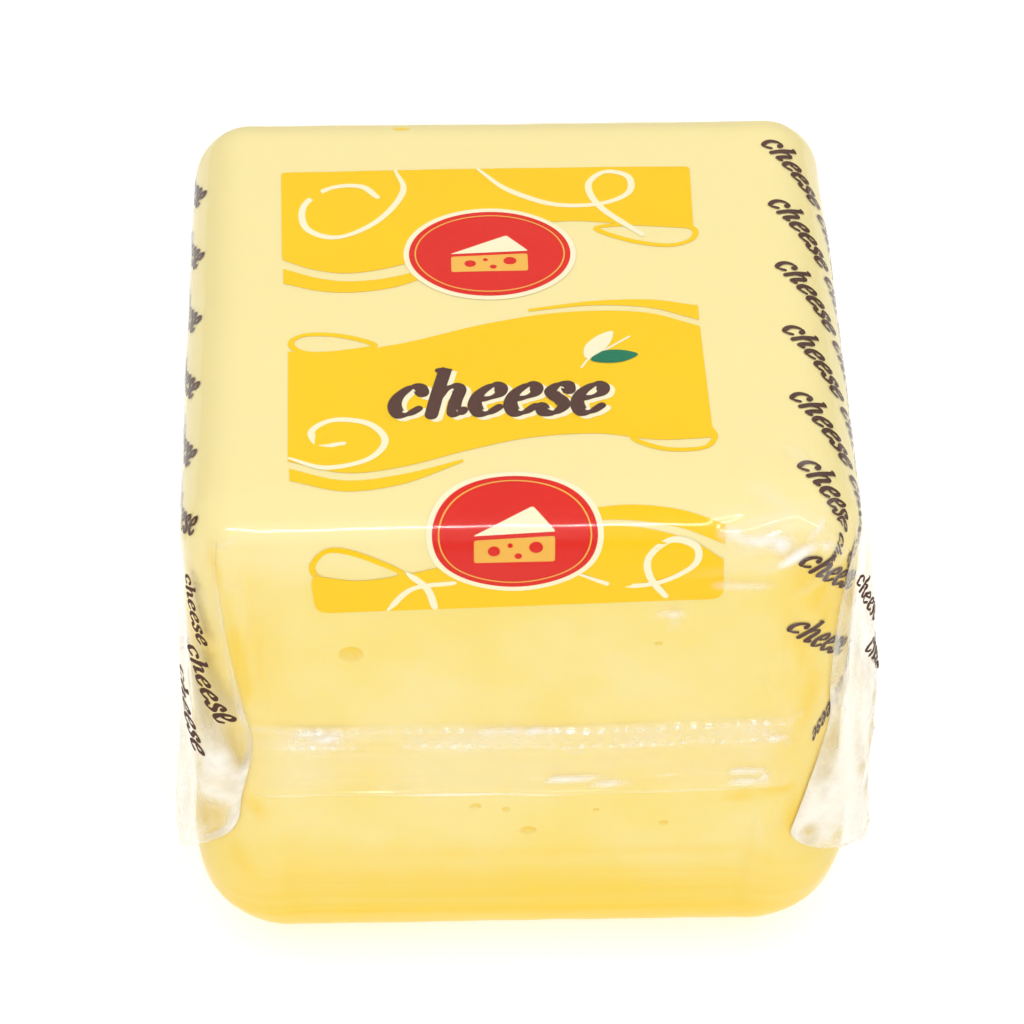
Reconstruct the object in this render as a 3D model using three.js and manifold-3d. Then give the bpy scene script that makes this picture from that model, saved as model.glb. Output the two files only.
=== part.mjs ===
// A block of cheese of about a kilogram, packed in a clear tube bag that is sealed across both ends.
// Millimetres, +Z up. The origin is on the resting surface, under the middle of the pack. The end of the
// pack that shows the mouth seal faces -Y.
import * as THREE from "three";
import { mergeVertices } from "three/addons/utils/BufferGeometryUtils.js";
import Module from "manifold-3d";

// The cheese block, without its film.
const BLOCK_WIDTH = 104; // along X
const BLOCK_DEPTH = 100; // along Y
const BLOCK_HEIGHT = 103; // along Z
const TOP_EDGE_RADIUS = 9; // on the top edges and the tops of the upright edges
const BOTTOM_EDGE_RADIUS = 15; // on the bottom edges and the feet of the upright edges
const FACE_CROWN = 0.8; // how far the top and the two sides swell at their middles

// The film of the bag, drawn thicker than its real 0.08 so that it holds as a solid.
const FILM_THICKNESS = 0.3;
const FILM_CLEARANCE = 0.3; // between the cheese and the film

// The seal across each end: the two walls of the bag meet at the seal line and the fin folds down.
const SEAL_HEIGHT = 57; // of the seal line above the resting surface
const FIN_DROP = 13; // from the seal line to the fin's free edge
const FIN_THICKNESS = 0.9;
const FIN_END_INSET = 6; // from the side of the block to the fin's end
const JOIN_DEPTH = 0.12; // how far a fin sinks into the film wall that it grows from

// The mouth of the bag, between the two lips of the front fin.
const MOUTH_GAP = 0.3;
const MOUTH_END_INSET = 10; // from the fin's end to the mouth's end
const MOUTH_LIP = 1.5; // of fin left whole above the mouth

// The ears: the spare film of the flattened tube, crumpled round the upright edge at each end of a fin.
const EAR_RISE = 40; // from the seal line to the ear's upper tip
const EAR_FALL = 32; // from the seal line to the ear's lower tip
const EAR_REACH = 12; // from the upright edge, over the end face and over the side alike
const EAR_APEX_DROP = 9; // of the ear's widest place below the seal line
const EAR_STAND = 2.4; // how far the crumpled film stands off the bag
const EAR_BOW = 0.62; // where each side of an ear's outline bows to: 0.5 is a straight side
const EAR_SIDE_STEPS = 5; // facets along each side of an ear's outline

// Facets.
const ROUND_STEPS = 3; // in each half of a rounded edge
const FLAT_STEPS = 4; // across each flat

const CHEESE_COLOUR = 0xfbe38a;
const FILM_COLOUR = 0xf3f1ea;

const wasm = await Module();
wasm.setup();

// The surface of the block grown outwards by `offset`: closed, with radii that grow by the same amount.
function blockGeometry(offset) {
  const half = new THREE.Vector3(BLOCK_WIDTH / 2, BLOCK_DEPTH / 2, BLOCK_HEIGHT / 2).addScalar(offset);
  const topRadius = TOP_EDGE_RADIUS + offset;
  const bottomRadius = BOTTOM_EDGE_RADIUS + offset;
  const lines = FLAT_STEPS + 2 * ROUND_STEPS;

  // A grid line's place along one axis, with the rounded share of each end cut finer than the flat.
  const along = (line, size, lowRadius, highRadius) => {
    const low = -size + lowRadius;
    const high = size - highRadius;
    if (line < ROUND_STEPS) return low - lowRadius * (1 - line / ROUND_STEPS);
    if (line > lines - ROUND_STEPS) return high + highRadius * (1 - (lines - line) / ROUND_STEPS);
    return low + ((high - low) * (line - ROUND_STEPS)) / FLAT_STEPS;
  };
  const radiusAt = (z) => {
    const share = (z + half.z - bottomRadius) / (2 * half.z - bottomRadius - topRadius);
    return THREE.MathUtils.lerp(bottomRadius, topRadius, THREE.MathUtils.clamp(share, 0, 1));
  };

  const surfacePoint = (i, j, k) => {
    const z = along(k, half.z, bottomRadius, topRadius);
    const radius = radiusAt(z);
    const sharp = new THREE.Vector3(
      along(i, half.x, radius, radius),
      along(j, half.y, radius, radius),
      z,
    );
    const core = new THREE.Vector3(
      THREE.MathUtils.clamp(sharp.x, radius - half.x, half.x - radius),
      THREE.MathUtils.clamp(sharp.y, radius - half.y, half.y - radius),
      THREE.MathUtils.clamp(sharp.z, bottomRadius - half.z, half.z - topRadius),
    );
    const point = sharp.clone().sub(core).setLength(radius).add(core);
    return crowned(point, half);
  };

  const corners = [];
  const patch = (at) => {
    for (let a = 0; a < lines; a++) {
      for (let b = 0; b < lines; b++) {
        const [p, q, r, s] = [at(a, b), at(a + 1, b), at(a + 1, b + 1), at(a, b + 1)];
        corners.push(p, q, r, p, r, s);
      }
    }
  };
  patch((a, b) => surfacePoint(a, b, lines));
  patch((a, b) => surfacePoint(b, a, 0));
  patch((a, b) => surfacePoint(a, 0, b));
  patch((a, b) => surfacePoint(b, lines, a));
  patch((a, b) => surfacePoint(lines, a, b));
  patch((a, b) => surfacePoint(0, b, a));
  const lift = half.z - offset + FILM_CLEARANCE + FILM_THICKNESS;
  return new THREE.BufferGeometry().setFromPoints(corners).translate(0, 0, lift);
}

// The soft block swells a little at the middle of its top and of its two sides. Its base and ends stay flat.
function crowned(point, half) {
  const [x, y, z] = [point.x / half.x, point.y / half.y, point.z / half.z];
  const swell = (u, v) => FACE_CROWN * Math.max(0, 1 - u * u) * Math.max(0, 1 - v * v);
  point.x += x * Math.abs(x) * swell(y, z);
  if (z > 0) point.z += z * z * swell(x, y);
  return point;
}

// A closed geometry as a solid for joining and cutting.
function solidOf(geometry) {
  const bare = geometry.index ? geometry.toNonIndexed() : geometry.clone();
  bare.deleteAttribute("normal");
  bare.deleteAttribute("uv");
  const merged = mergeVertices(bare, 1e-4);
  return new wasm.Manifold(
    new wasm.Mesh({
      numProp: 3,
      vertProperties: new Float32Array(merged.attributes.position.array),
      triVerts: new Uint32Array(merged.index.array),
    }),
  );
}

function geometryOf(solid) {
  const mesh = solid.getMesh();
  const geometry = new THREE.BufferGeometry();
  geometry.setAttribute("position", new THREE.BufferAttribute(mesh.vertProperties, 3));
  geometry.setIndex(new THREE.BufferAttribute(mesh.triVerts, 1));
  geometry.computeVertexNormals();
  return geometry;
}

// A box given by its lowest and highest corners.
function boxSolid(low, high) {
  const size = high.clone().sub(low);
  const middle = low.clone().add(high).multiplyScalar(0.5);
  return solidOf(new THREE.BoxGeometry(size.x, size.y, size.z).translate(middle.x, middle.y, middle.z));
}

// Where the outside of the film stands at the two ends, and the outside of the block at its sides.
const END_FACE = BLOCK_DEPTH / 2 + FILM_CLEARANCE + FILM_THICKNESS;
const SIDE_FACE = BLOCK_WIDTH / 2 + FILM_CLEARANCE + FILM_THICKNESS;
const FIN_HALF_WIDTH = SIDE_FACE - FIN_END_INSET;

// The fin of one end, lying flat on the film: `end` is -1 for the mouth end and 1 for the other.
function finSolid(end) {
  const inner = end * (END_FACE - JOIN_DEPTH);
  const outer = end * (END_FACE + FIN_THICKNESS);
  return boxSolid(
    new THREE.Vector3(-FIN_HALF_WIDTH, Math.min(inner, outer), SEAL_HEIGHT - FIN_DROP),
    new THREE.Vector3(FIN_HALF_WIDTH, Math.max(inner, outer), SEAL_HEIGHT),
  );
}

// One ear: what a bowed kite, looking in at the upright edge along its diagonal, takes from a skin round
// the bag. The kite runs deep into the block, where the inside of the bag is cut away afterwards.
function earSolid(skin, end, side) {
  const reach = EAR_REACH / Math.SQRT2;
  const outline = new THREE.Shape();
  const corners = [
    new THREE.Vector2(0, EAR_RISE),
    new THREE.Vector2(-reach, -EAR_APEX_DROP),
    new THREE.Vector2(0, -EAR_FALL),
    new THREE.Vector2(reach, -EAR_APEX_DROP),
  ];
  outline.moveTo(corners[0].x, corners[0].y);
  corners.forEach((from, index) => {
    const to = corners[(index + 1) % corners.length];
    const bow = from.clone().add(to).multiplyScalar(EAR_BOW);
    outline.quadraticCurveTo(bow.x, bow.y, to.x, to.y);
  });
  const kite = new THREE.ExtrudeGeometry(outline, {
    depth: 2 * EAR_REACH,
    bevelEnabled: false,
    curveSegments: EAR_SIDE_STEPS,
  });
  // The kite is stood up facing -Y, moved to be half in front of the edge, and turned to face the corner.
  kite.rotateX(Math.PI / 2).translate(0, EAR_REACH, 0).rotateZ(Math.PI / 4);
  kite.translate(SIDE_FACE, -END_FACE, SEAL_HEIGHT);
  const onRight = solidOf(kite);
  const onItsSide = side < 0 ? onRight.mirror([1, 0, 0]) : onRight;
  return skin.intersect(end > 0 ? onItsSide.mirror([0, 1, 0]) : onItsSide);
}

// The gap between the two lips of the front fin, from the fin's free edge up and into the bag.
function mouthSolid() {
  const halfWidth = FIN_HALF_WIDTH - MOUTH_END_INSET;
  const middle = -(END_FACE + FIN_THICKNESS / 2);
  const top = SEAL_HEIGHT - MOUTH_LIP;
  const betweenLips = boxSolid(
    new THREE.Vector3(-halfWidth, middle - MOUTH_GAP / 2, SEAL_HEIGHT - FIN_DROP - 1),
    new THREE.Vector3(halfWidth, middle + MOUTH_GAP / 2, top),
  );
  const intoBag = boxSolid(
    new THREE.Vector3(-halfWidth, middle, top - MOUTH_GAP),
    new THREE.Vector3(halfWidth, FILM_THICKNESS + JOIN_DEPTH - END_FACE, top),
  );
  return betweenLips.add(intoBag);
}

function filmGeometry() {
  const outside = solidOf(blockGeometry(FILM_CLEARANCE + FILM_THICKNESS));
  const inside = solidOf(blockGeometry(FILM_CLEARANCE));
  const skin = solidOf(blockGeometry(FILM_CLEARANCE + FILM_THICKNESS + EAR_STAND));
  let bag = outside;
  for (const end of [-1, 1]) {
    bag = bag.add(finSolid(end));
    for (const side of [-1, 1]) bag = bag.add(earSolid(skin, end, side));
  }
  return geometryOf(bag.subtract(inside).subtract(mouthSolid()));
}

function cheeseMesh() {
  const material = new THREE.MeshStandardMaterial({
    color: CHEESE_COLOUR,
    roughness: 0.55,
    metalness: 0,
  });
  const mesh = new THREE.Mesh(geometryOf(solidOf(blockGeometry(0))), material);
  mesh.name = "cheese_block";
  return mesh;
}

function filmMesh() {
  const material = new THREE.MeshStandardMaterial({
    color: FILM_COLOUR,
    roughness: 0.12,
    metalness: 0,
    transparent: true,
    opacity: 0.25,
  });
  const mesh = new THREE.Mesh(filmGeometry(), material);
  mesh.name = "film_bag";
  return mesh;
}

const pack = new THREE.Group();
pack.add(cheeseMesh(), filmMesh());

export default pack;
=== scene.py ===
"""A small whole block of pale cheese, packed in clear printed film that is sealed across both ends.

All shapes are worked out in millimetres in the pack's own frame and become metres when a mesh is made.
"""

import logging
import math
from dataclasses import dataclass
from enum import Enum
from typing import Sequence

import bmesh
import bpy
import numpy as np
from mathutils import Matrix, Vector
from mathutils.geometry import delaunay_2d_cdt


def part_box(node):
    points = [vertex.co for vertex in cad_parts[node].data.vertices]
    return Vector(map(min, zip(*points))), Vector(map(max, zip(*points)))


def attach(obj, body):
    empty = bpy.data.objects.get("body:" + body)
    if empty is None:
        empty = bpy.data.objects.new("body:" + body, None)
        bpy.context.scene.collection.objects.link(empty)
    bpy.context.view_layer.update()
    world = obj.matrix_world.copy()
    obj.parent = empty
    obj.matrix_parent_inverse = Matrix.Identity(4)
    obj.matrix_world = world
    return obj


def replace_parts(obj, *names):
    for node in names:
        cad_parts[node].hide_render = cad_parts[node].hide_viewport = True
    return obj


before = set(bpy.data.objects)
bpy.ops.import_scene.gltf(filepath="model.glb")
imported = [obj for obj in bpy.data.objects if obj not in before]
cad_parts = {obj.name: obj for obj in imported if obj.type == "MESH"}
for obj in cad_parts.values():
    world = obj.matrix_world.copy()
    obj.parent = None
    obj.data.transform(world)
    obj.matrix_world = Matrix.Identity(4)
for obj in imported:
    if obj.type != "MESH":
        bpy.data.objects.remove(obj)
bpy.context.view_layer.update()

LOG = logging.getLogger("cheese_pack")
MM = 0.001
BODY = "root"
TINY = 1e-9  # keeps a length of 0 from being divided by
CLOSE = 1e-6  # two places this close count as one
WHITE = (1.0, 1.0, 1.0, 1.0)
BLACK = (0.0, 0.0, 0.0, 1.0)

Points = np.ndarray
Outline = np.ndarray
Knots = tuple[tuple[float, float], ...]
Colour = tuple[float, float, float]


# ---------------------------------------------------------------------------------------------------------
# The shape of the block, which every layer of the pack follows
# ---------------------------------------------------------------------------------------------------------


def ramp(values: Points, start: float, reach: float) -> Points:
    """Shares that grow from 0 at a start to 1 where the reach ends."""
    return np.clip((values - start) / reach, 0, 1)


@dataclass(frozen=True)
class BlockForm:
    """The soft-cornered block. Each layer of the pack is this surface, lifted by its own distance."""

    half: tuple[float, float, float]
    middle: float
    top_radius: float = 9.0
    foot_radius: float = 15.0
    crown: float = 0.8
    dent: float = 0.12
    dent_waves: tuple[tuple[float, float, int], ...] = ((0.7, 26.0, 3), (0.4, 9.0, 4))
    dent_bias: float = 0.6
    flat_base: tuple[float, float] = (0.6, 3.0)  # where the dents start, and over what height
    sag: tuple[float, float] = (2.6, 4.2)  # of the left and the right upright edges
    sag_height: float = 23.0
    sag_reach: float = 13.0

    @classmethod
    def from_frame(cls) -> "BlockForm":
        """Reads the block's size from its solid, less the crown on its top and sides.

        Returns:
            The block's form.
        """
        low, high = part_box("cheese_block")
        half_x = high[0] / MM - cls.crown
        half_y = high[1] / MM
        half_z = (high[2] - low[2]) / MM / 2 - cls.crown / 2
        return cls(half=(round(half_x, 1), round(half_y, 1), round(half_z, 1)), middle=low[2] / MM + half_z)

    def radius_at(self, height: Points) -> Points:
        """The radius of the upright edges at a height over the middle, and of all edges at its ends.

        Args:
            height: Heights over the block's middle.

        Returns:
            One radius for each height.
        """
        half = self.half[2]
        share = (height + half - self.foot_radius) / (2 * half - self.foot_radius - self.top_radius)
        return self.foot_radius + (self.top_radius - self.foot_radius) * np.clip(share, 0, 1)

    def surface(self, sharp: Points, lift: Points | float = 0.0) -> tuple[Points, Points]:
        """Rounds points of the sharp box into points of the lifted surface.

        Args:
            sharp: Points on the box that the block would be with sharp edges, from its middle.
            lift: How far outside the cheese the layer stands, for all points or for each.

        Returns:
            The points in the pack's frame, and the outward directions there.
        """
        half = np.array(self.half)
        radius = self.radius_at(sharp[:, 2])
        core = np.column_stack([
            np.clip(sharp[:, 0], radius - half[0], half[0] - radius),
            np.clip(sharp[:, 1], radius - half[1], half[1] - radius),
            np.clip(sharp[:, 2], self.foot_radius - half[2], half[2] - self.top_radius),
        ])
        away = sharp - core
        normal = away / np.linalg.norm(away, axis=1)[:, None]
        rest = core + normal * radius[:, None]
        point = core + normal * (radius + lift + self._softness(rest, normal))[:, None]
        share = point / half
        swell = self.crown * np.clip(1 - share**2, 0, None)
        point[:, 0] += np.sign(share[:, 0]) * share[:, 0] ** 2 * swell[:, 1] * swell[:, 2] / self.crown
        rise = np.where(share[:, 2] > 0, share[:, 2] ** 2, 0)
        point[:, 2] += rise * swell[:, 0] * swell[:, 1] / self.crown + self.middle
        return point, normal

    def _softness(self, rest: Points, normal: Points) -> Points:
        """The slight dents of the soft block, and how its upright edges bulge over its foot.

        Args:
            rest: Points of the even block, from its middle.
            normal: The outward directions there.

        Returns:
            How far outwards each point moves.
        """
        height = rest[:, 2] + self.middle
        waves = sum(share * soft_noise(rest, pitch, seed) for share, pitch, seed in self.dent_waves)
        dents = self.dent * (waves - self.dent_bias)
        side = np.where(normal[:, 0] < 0, self.sag[0], self.sag[1])
        bulge = side * np.clip(2 * np.abs(normal[:, 0] * normal[:, 1]), 0, 1) ** 0.8
        bulge *= np.exp(-(((height - self.sag_height) / self.sag_reach) ** 2))
        return dents * ramp(height, *self.flat_base) + bulge


class Turn(Enum):
    """A pair of faces that meet at a rounded edge: the first face's normal and the second's."""

    TOP_FRONT = ((0, 0, 1), (0, -1, 0))
    TOP_RIGHT = ((0, 0, 1), (1, 0, 0))
    TOP_LEFT = ((0, 0, 1), (-1, 0, 0))
    FRONT_RIGHT = ((0, -1, 0), (1, 0, 0))
    FRONT_LEFT = ((0, -1, 0), (-1, 0, 0))
    BACK_RIGHT = ((0, 1, 0), (1, 0, 0))
    BACK_LEFT = ((0, 1, 0), (-1, 0, 0))

    @property
    def is_upright(self) -> bool:
        """True where the two faces meet at one of the four upright edges."""
        return self.value[0][2] == 0

    @property
    def hand(self) -> int:
        """-1 where a drawing has to run the other way along the edge to keep its letters readable."""
        return -1 if self in (Turn.TOP_LEFT, Turn.FRONT_LEFT, Turn.BACK_RIGHT) else 1

    def sharp(self, form: BlockForm, across: Points, along: Points) -> Points:
        """Places flat distances on the sharp box.

        Args:
            form: The block.
            across: How far each point is from the first face's middle, measured on the surface towards
                and round the edge.
            along: Where each point is along the edge. On an upright edge this is the height over the
                resting surface.

        Returns:
            The points on the sharp box, from its middle.
        """
        first, second = np.array(self.value[0], float), np.array(self.value[1], float)
        edge = np.array([0.0, 0.0, 1.0]) if self.is_upright else np.abs(np.cross(first, second))
        height = along - form.middle if self.is_upright else along
        half_first = float(abs(first) @ form.half)
        half_second = float(abs(second) @ form.half)
        radius = form.radius_at(height) if self.is_upright else np.full_like(along, form.top_radius)
        flat = half_second - radius
        turn = np.clip((across - flat) / radius, 0, math.pi / 2)
        past = np.clip(across - flat - radius * math.pi / 2, 0, None)
        on_first = turn <= math.pi / 4
        out = np.where(across <= flat, across, flat + radius * np.tan(np.minimum(turn, math.pi / 4)))
        back = radius * (1 - np.tan(np.minimum(math.pi / 2 - turn, math.pi / 4))) + past
        along_second = np.where(on_first, out, half_second)
        along_first = np.where(on_first, half_first, half_first - back)
        return along_second[:, None] * second + along_first[:, None] * first + height[:, None] * edge

    def middle_of_edge(self, form: BlockForm, along: Points) -> Points:
        """How far the middle of the rounded edge is from the first face's middle, on the surface.

        Args:
            form: The block.
            along: Where each point is along the edge, as for `sharp`.

        Returns:
            One distance for each point.
        """
        second = np.array(self.value[1], float)
        radius = form.radius_at(along - form.middle) if self.is_upright else form.top_radius
        return float(abs(second) @ form.half) - radius + radius * math.pi / 4


FORM = BlockForm.from_frame()


# ---------------------------------------------------------------------------------------------------------
# Seeded texture in numbers, for surfaces that are shaped point by point
# ---------------------------------------------------------------------------------------------------------


def soft_noise(points: Points, pitch: float, seed: int, waves: int = 9) -> Points:
    """Smooth noise from -1 to 1, as a sum of sine waves in seeded directions.

    Args:
        points: Where to read it, in millimetres.
        pitch: The usual length of a wave, in millimetres.
        seed: The seed of the directions.
        waves: How many waves are added.

    Returns:
        One value for each point.
    """
    draw = np.random.default_rng(seed)
    total = np.zeros(len(points))
    for _ in range(waves):
        way = draw.normal(size=points.shape[1])
        way *= 2 * math.pi / (pitch * draw.uniform(0.7, 1.5) * np.linalg.norm(way))
        total += np.sin(points @ way + draw.uniform(0, 2 * math.pi))
    return total / math.sqrt(waves) / 1.6


def crumple(points: Points, sheet: tuple[float, float], cells: int, seed: int) -> Points:
    """Sharp folds with flat facets between them, as in crumpled film.

    Args:
        points: Flat coordinates on the sheet, in millimetres from its corner.
        sheet: The sheet's size.
        cells: How many facets cover the sheet.
        seed: The seed of the facets.

    Returns:
        One height from 0 to about 1 for each point.
    """
    draw = np.random.default_rng(seed)
    seeds = draw.uniform((0.0, 0.0), sheet, size=(cells, 2))
    slopes = draw.normal(size=(cells, 2))
    facet = math.sqrt(sheet[0] * sheet[1] / cells)
    away = (points[:, None, :] - seeds) / facet
    tilted = np.linalg.norm(away, axis=2) + 0.35 * np.einsum("pcd,cd->pc", away, slopes)
    return np.clip(np.partition(tilted, 1, axis=1)[:, 0], -0.5, 1.2)


@dataclass(frozen=True)
class Crease:
    """One tight fold in the film, as a ridge with straight sides between two places."""

    start: tuple[float, float, float]
    end: tuple[float, float, float]
    height: float
    width: float

    def lift(self, points: Points) -> Points:
        """How far the ridge lifts each point.

        Args:
            points: Where to read the ridge.

        Returns:
            Its height there, 0 beside it.
        """
        start, end = np.array(self.start), np.array(self.end)
        run = end - start
        share = np.clip((points - start) @ run / (run @ run), 0, 1)
        away = np.linalg.norm(points - (start + share[:, None] * run), axis=1)
        fade = np.sqrt(np.sin(math.pi * np.clip(share * 0.9 + 0.08, 0, 1)))
        return self.height * fade * np.clip(1 - away / self.width, 0, None)


# ---------------------------------------------------------------------------------------------------------
# Flat drawing: outlines, strokes and letters, in millimetres
# ---------------------------------------------------------------------------------------------------------


def flow(knots: Sequence[tuple[float, float]], steps: int = 10, closed: bool = False) -> Outline:
    """A smooth curve through a few knots.

    Args:
        knots: The places that the curve passes.
        steps: Points between two knots.
        closed: Whether the curve comes back to its first knot.

    Returns:
        The curve's points.
    """
    nodes = np.array(knots, float)
    if closed:
        padded = np.vstack([nodes[-1], nodes, nodes[:2]])
    else:
        padded = np.vstack([2 * nodes[0] - nodes[1], nodes, 2 * nodes[-1] - nodes[-2]])
    t = np.arange(steps)[:, None] / steps
    spans = []
    for before, a, b, after in zip(padded, padded[1:], padded[2:], padded[3:]):
        spans.append(0.5 * (
            2 * a + (b - before) * t + (2 * before - 5 * a + 4 * b - after) * t**2
            + (3 * a - before - 3 * b + after) * t**3
        ))
    if not closed:
        spans.append(nodes[-1:])
    return np.vstack(spans)


def area_of(outline: Outline) -> float:
    """The signed area of a closed outline, which is positive where it runs anticlockwise."""
    x, y = outline[:, 0], outline[:, 1]
    return float(0.5 * np.sum(x * np.roll(y, -1) - np.roll(x, -1) * y))


def filled(outline: Outline) -> Outline:
    """The outline, turned to be filled."""
    return outline if area_of(outline) > 0 else outline[::-1]


def hole(outline: Outline) -> Outline:
    """The outline, turned to be cut out of what it lies in."""
    return filled(outline)[::-1]


def ellipse(centre: tuple[float, float], radii: tuple[float, float], steps: int = 72) -> Outline:
    """The outline of an ellipse."""
    turn = np.linspace(0, 2 * math.pi, steps, endpoint=False)
    return np.column_stack([centre[0] + radii[0] * np.cos(turn), centre[1] + radii[1] * np.sin(turn)])


def rounded(corners: Sequence[tuple[float, float]], radius: float, steps: int = 5) -> Outline:
    """A polygon whose corners are eased by a radius.

    Args:
        corners: The polygon's corners.
        radius: How far from a corner its curve starts.
        steps: Points in each curve.

    Returns:
        The eased outline.
    """
    nodes = np.array(corners, float)
    points = []
    for before, at, after in zip(np.roll(nodes, 1, 0), nodes, np.roll(nodes, -1, 0)):
        come, go = before - at, after - at
        start = at + come / np.linalg.norm(come) * min(radius, np.linalg.norm(come) / 2)
        end = at + go / np.linalg.norm(go) * min(radius, np.linalg.norm(go) / 2)
        for t in np.linspace(0, 1, steps):
            points.append((1 - t) ** 2 * start + 2 * t * (1 - t) * at + t**2 * end)
    return np.array(points)


@dataclass(frozen=True)
class Pen:
    """A broad pen, held at one slant, that draws a line thick one way and thin the other."""

    broad: float
    thin: float
    slant: float = math.radians(20)
    taper_rate: float = 4.0

    def draw(self, line: Outline, taper: tuple[float, float] = (1.0, 1.0)) -> Outline:
        """The outline of the mark that the pen leaves along a line.

        Args:
            line: The pen's path.
            taper: How much of its width the mark keeps at its start and at its end.

        Returns:
            The mark's outline, with round ends.
        """
        way = np.gradient(line, axis=0)
        way /= np.linalg.norm(way, axis=1)[:, None] + TINY
        side = np.column_stack([way[:, 1], -way[:, 0]])
        turn = np.abs(np.sin(np.arctan2(way[:, 1], way[:, 0]) - self.slant))
        run = np.linspace(0, 1, len(line))
        start, end = taper[0] + self.taper_rate * run, taper[1] + self.taper_rate * (1 - run)
        ease = np.minimum(1, np.minimum(start, end))
        half = 0.5 * (self.thin + (self.broad - self.thin) * turn) * ease
        right, left = line + side * half[:, None], line - side * half[:, None]
        cap = np.linspace(math.pi / 2, -math.pi / 2, 6)[1:-1]
        caps = []
        for at, ahead, across, size in (
            (line[-1], way[-1], side[-1], half[-1]), (line[0], -way[0], -side[0], half[0]),
        ):
            caps.append(at + size * (np.cos(cap)[:, None] * ahead + np.sin(cap)[:, None] * across))
        return np.vstack([right, caps[0], left[::-1], caps[1]])


@dataclass(frozen=True)
class Letter:
    """A letter as pen lines on a line of height 0, with small letters one unit high."""

    lines: tuple[Knots, ...]
    advance: float


LETTERS = {
    "c": Letter((((0.66, 0.78), (0.56, 0.93), (0.36, 0.94), (0.14, 0.66), (0.11, 0.34), (0.27, 0.05),
                  (0.48, 0.05), (0.70, 0.24)),), 0.80),
    "h": Letter((((0.06, 1.50), (0.20, 1.52), (0.22, 1.46), (0.20, 0.75), (0.20, 0.02)),
                 ((0.20, 0.55), (0.34, 0.84), (0.55, 0.95), (0.70, 0.80), (0.68, 0.40), (0.72, 0.08),
                  (0.84, 0.05), (0.93, 0.16))), 1.00),
    "e": Letter((((0.14, 0.50), (0.40, 0.53), (0.62, 0.66), (0.62, 0.87), (0.42, 0.96), (0.17, 0.70),
                  (0.12, 0.35), (0.28, 0.05), (0.50, 0.05), (0.72, 0.25)),), 0.80),
    "s": Letter((((0.57, 0.80), (0.50, 0.95), (0.30, 0.95), (0.17, 0.76), (0.28, 0.58), (0.47, 0.42),
                  (0.54, 0.22), (0.38, 0.03), (0.15, 0.04), (0.05, 0.20)),), 0.70),
}


@dataclass(frozen=True)
class Word:
    """A plain word in slanted pen letters."""

    text: str
    height: float
    pen: Pen
    lean: float = 0.22
    spacing: float = 0.0

    @property
    def length(self) -> float:
        """How long the word is, in millimetres."""
        return self.height * sum(LETTERS[letter].advance + self.spacing for letter in self.text)

    def outlines(self) -> list[Outline]:
        """The word's outlines, from its lower left corner.

        Returns:
            One outline for each pen line.
        """
        shapes, place = [], 0.0
        for letter in self.text:
            for line in LETTERS[letter].lines:
                path = flow(line, steps=7) * self.height + [place, 0]
                path[:, 0] += self.lean * path[:, 1]
                shapes.append(self.pen.draw(path))
            place += self.height * (LETTERS[letter].advance + self.spacing)
        return shapes


def moved(outlines: Sequence[Outline], place: tuple[float, float], turn: float = 0.0) -> list[Outline]:
    """Outlines turned by an angle about their own origin and moved to a place.

    Args:
        outlines: The outlines.
        place: Where their origin goes.
        turn: The angle, anticlockwise.

    Returns:
        The moved outlines.
    """
    c, s = math.cos(turn), math.sin(turn)
    spin = np.array([[c, s], [-s, c]])
    return [outline @ spin + np.array(place) for outline in outlines]


# ---------------------------------------------------------------------------------------------------------
# Meshes
# ---------------------------------------------------------------------------------------------------------


def make_piece(
    name: str,
    points: Points,
    faces: Sequence[Sequence[int]],
    material: bpy.types.Material,
    masks: dict[str, Points] | None = None,
) -> bpy.types.Object:
    """Makes one smooth-shaded piece that rides with the pack.

    Args:
        name: The piece's name.
        points: Its points, in millimetres.
        faces: Its faces, as indices of points.
        material: Its finish.
        masks: Values for each point, which its material reads by name.

    Returns:
        The new object.
    """
    mesh = bpy.data.meshes.new(name)
    corners = [list(map(int, face)) for face in faces]
    mesh.from_pydata((np.asarray(points) * MM).tolist(), [], corners)
    for mask_name, values in (masks or {}).items():
        mask = mesh.attributes.new(mask_name, "FLOAT", "POINT")
        mask.data.foreach_set("value", np.asarray(values, np.float32))
    mesh.polygons.foreach_set("use_smooth", [True] * len(mesh.polygons))
    mesh.materials.append(material)
    mesh.update()
    piece = bpy.data.objects.new(name, mesh)
    bpy.context.scene.collection.objects.link(piece)
    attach(piece, BODY)
    LOG.info("%s: %d points, %d faces", name, len(mesh.vertices), len(mesh.polygons))
    return piece


def grid_faces(rows: int, columns: int, flip: bool = False) -> Points:
    """The quads of a grid whose points run along its rows.

    Args:
        rows: How many rows of points there are.
        columns: How many points are in each row.
        flip: Whether the quads face the other way.

    Returns:
        Four indices for each quad.
    """
    at = np.arange(rows * columns).reshape(rows, columns)
    quads = np.stack([at[:-1, :-1], at[:-1, 1:], at[1:, 1:], at[1:, :-1]], -1).reshape(-1, 4)
    return quads[:, ::-1] if flip else quads


def graded(low: float, high: float, coarse: float, fine: Sequence[tuple[float, float, float]]) -> Points:
    """Places along an edge, set closer where a surface needs more detail.

    Args:
        low: The first place.
        high: The last place.
        coarse: The usual step.
        fine: Stretches with a step of their own, as start, end and step.

    Returns:
        The places in order.
    """
    places, at = [low], low
    while at < high - CLOSE:
        steps = [step for start, end, step in fine if start <= at + CLOSE < end]
        at = min(high, at + (min(steps) if steps else coarse))
        places.append(at)
    if places[-1] - places[-2] < 0.3 * coarse:
        del places[-2]
    return np.array(places)


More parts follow.
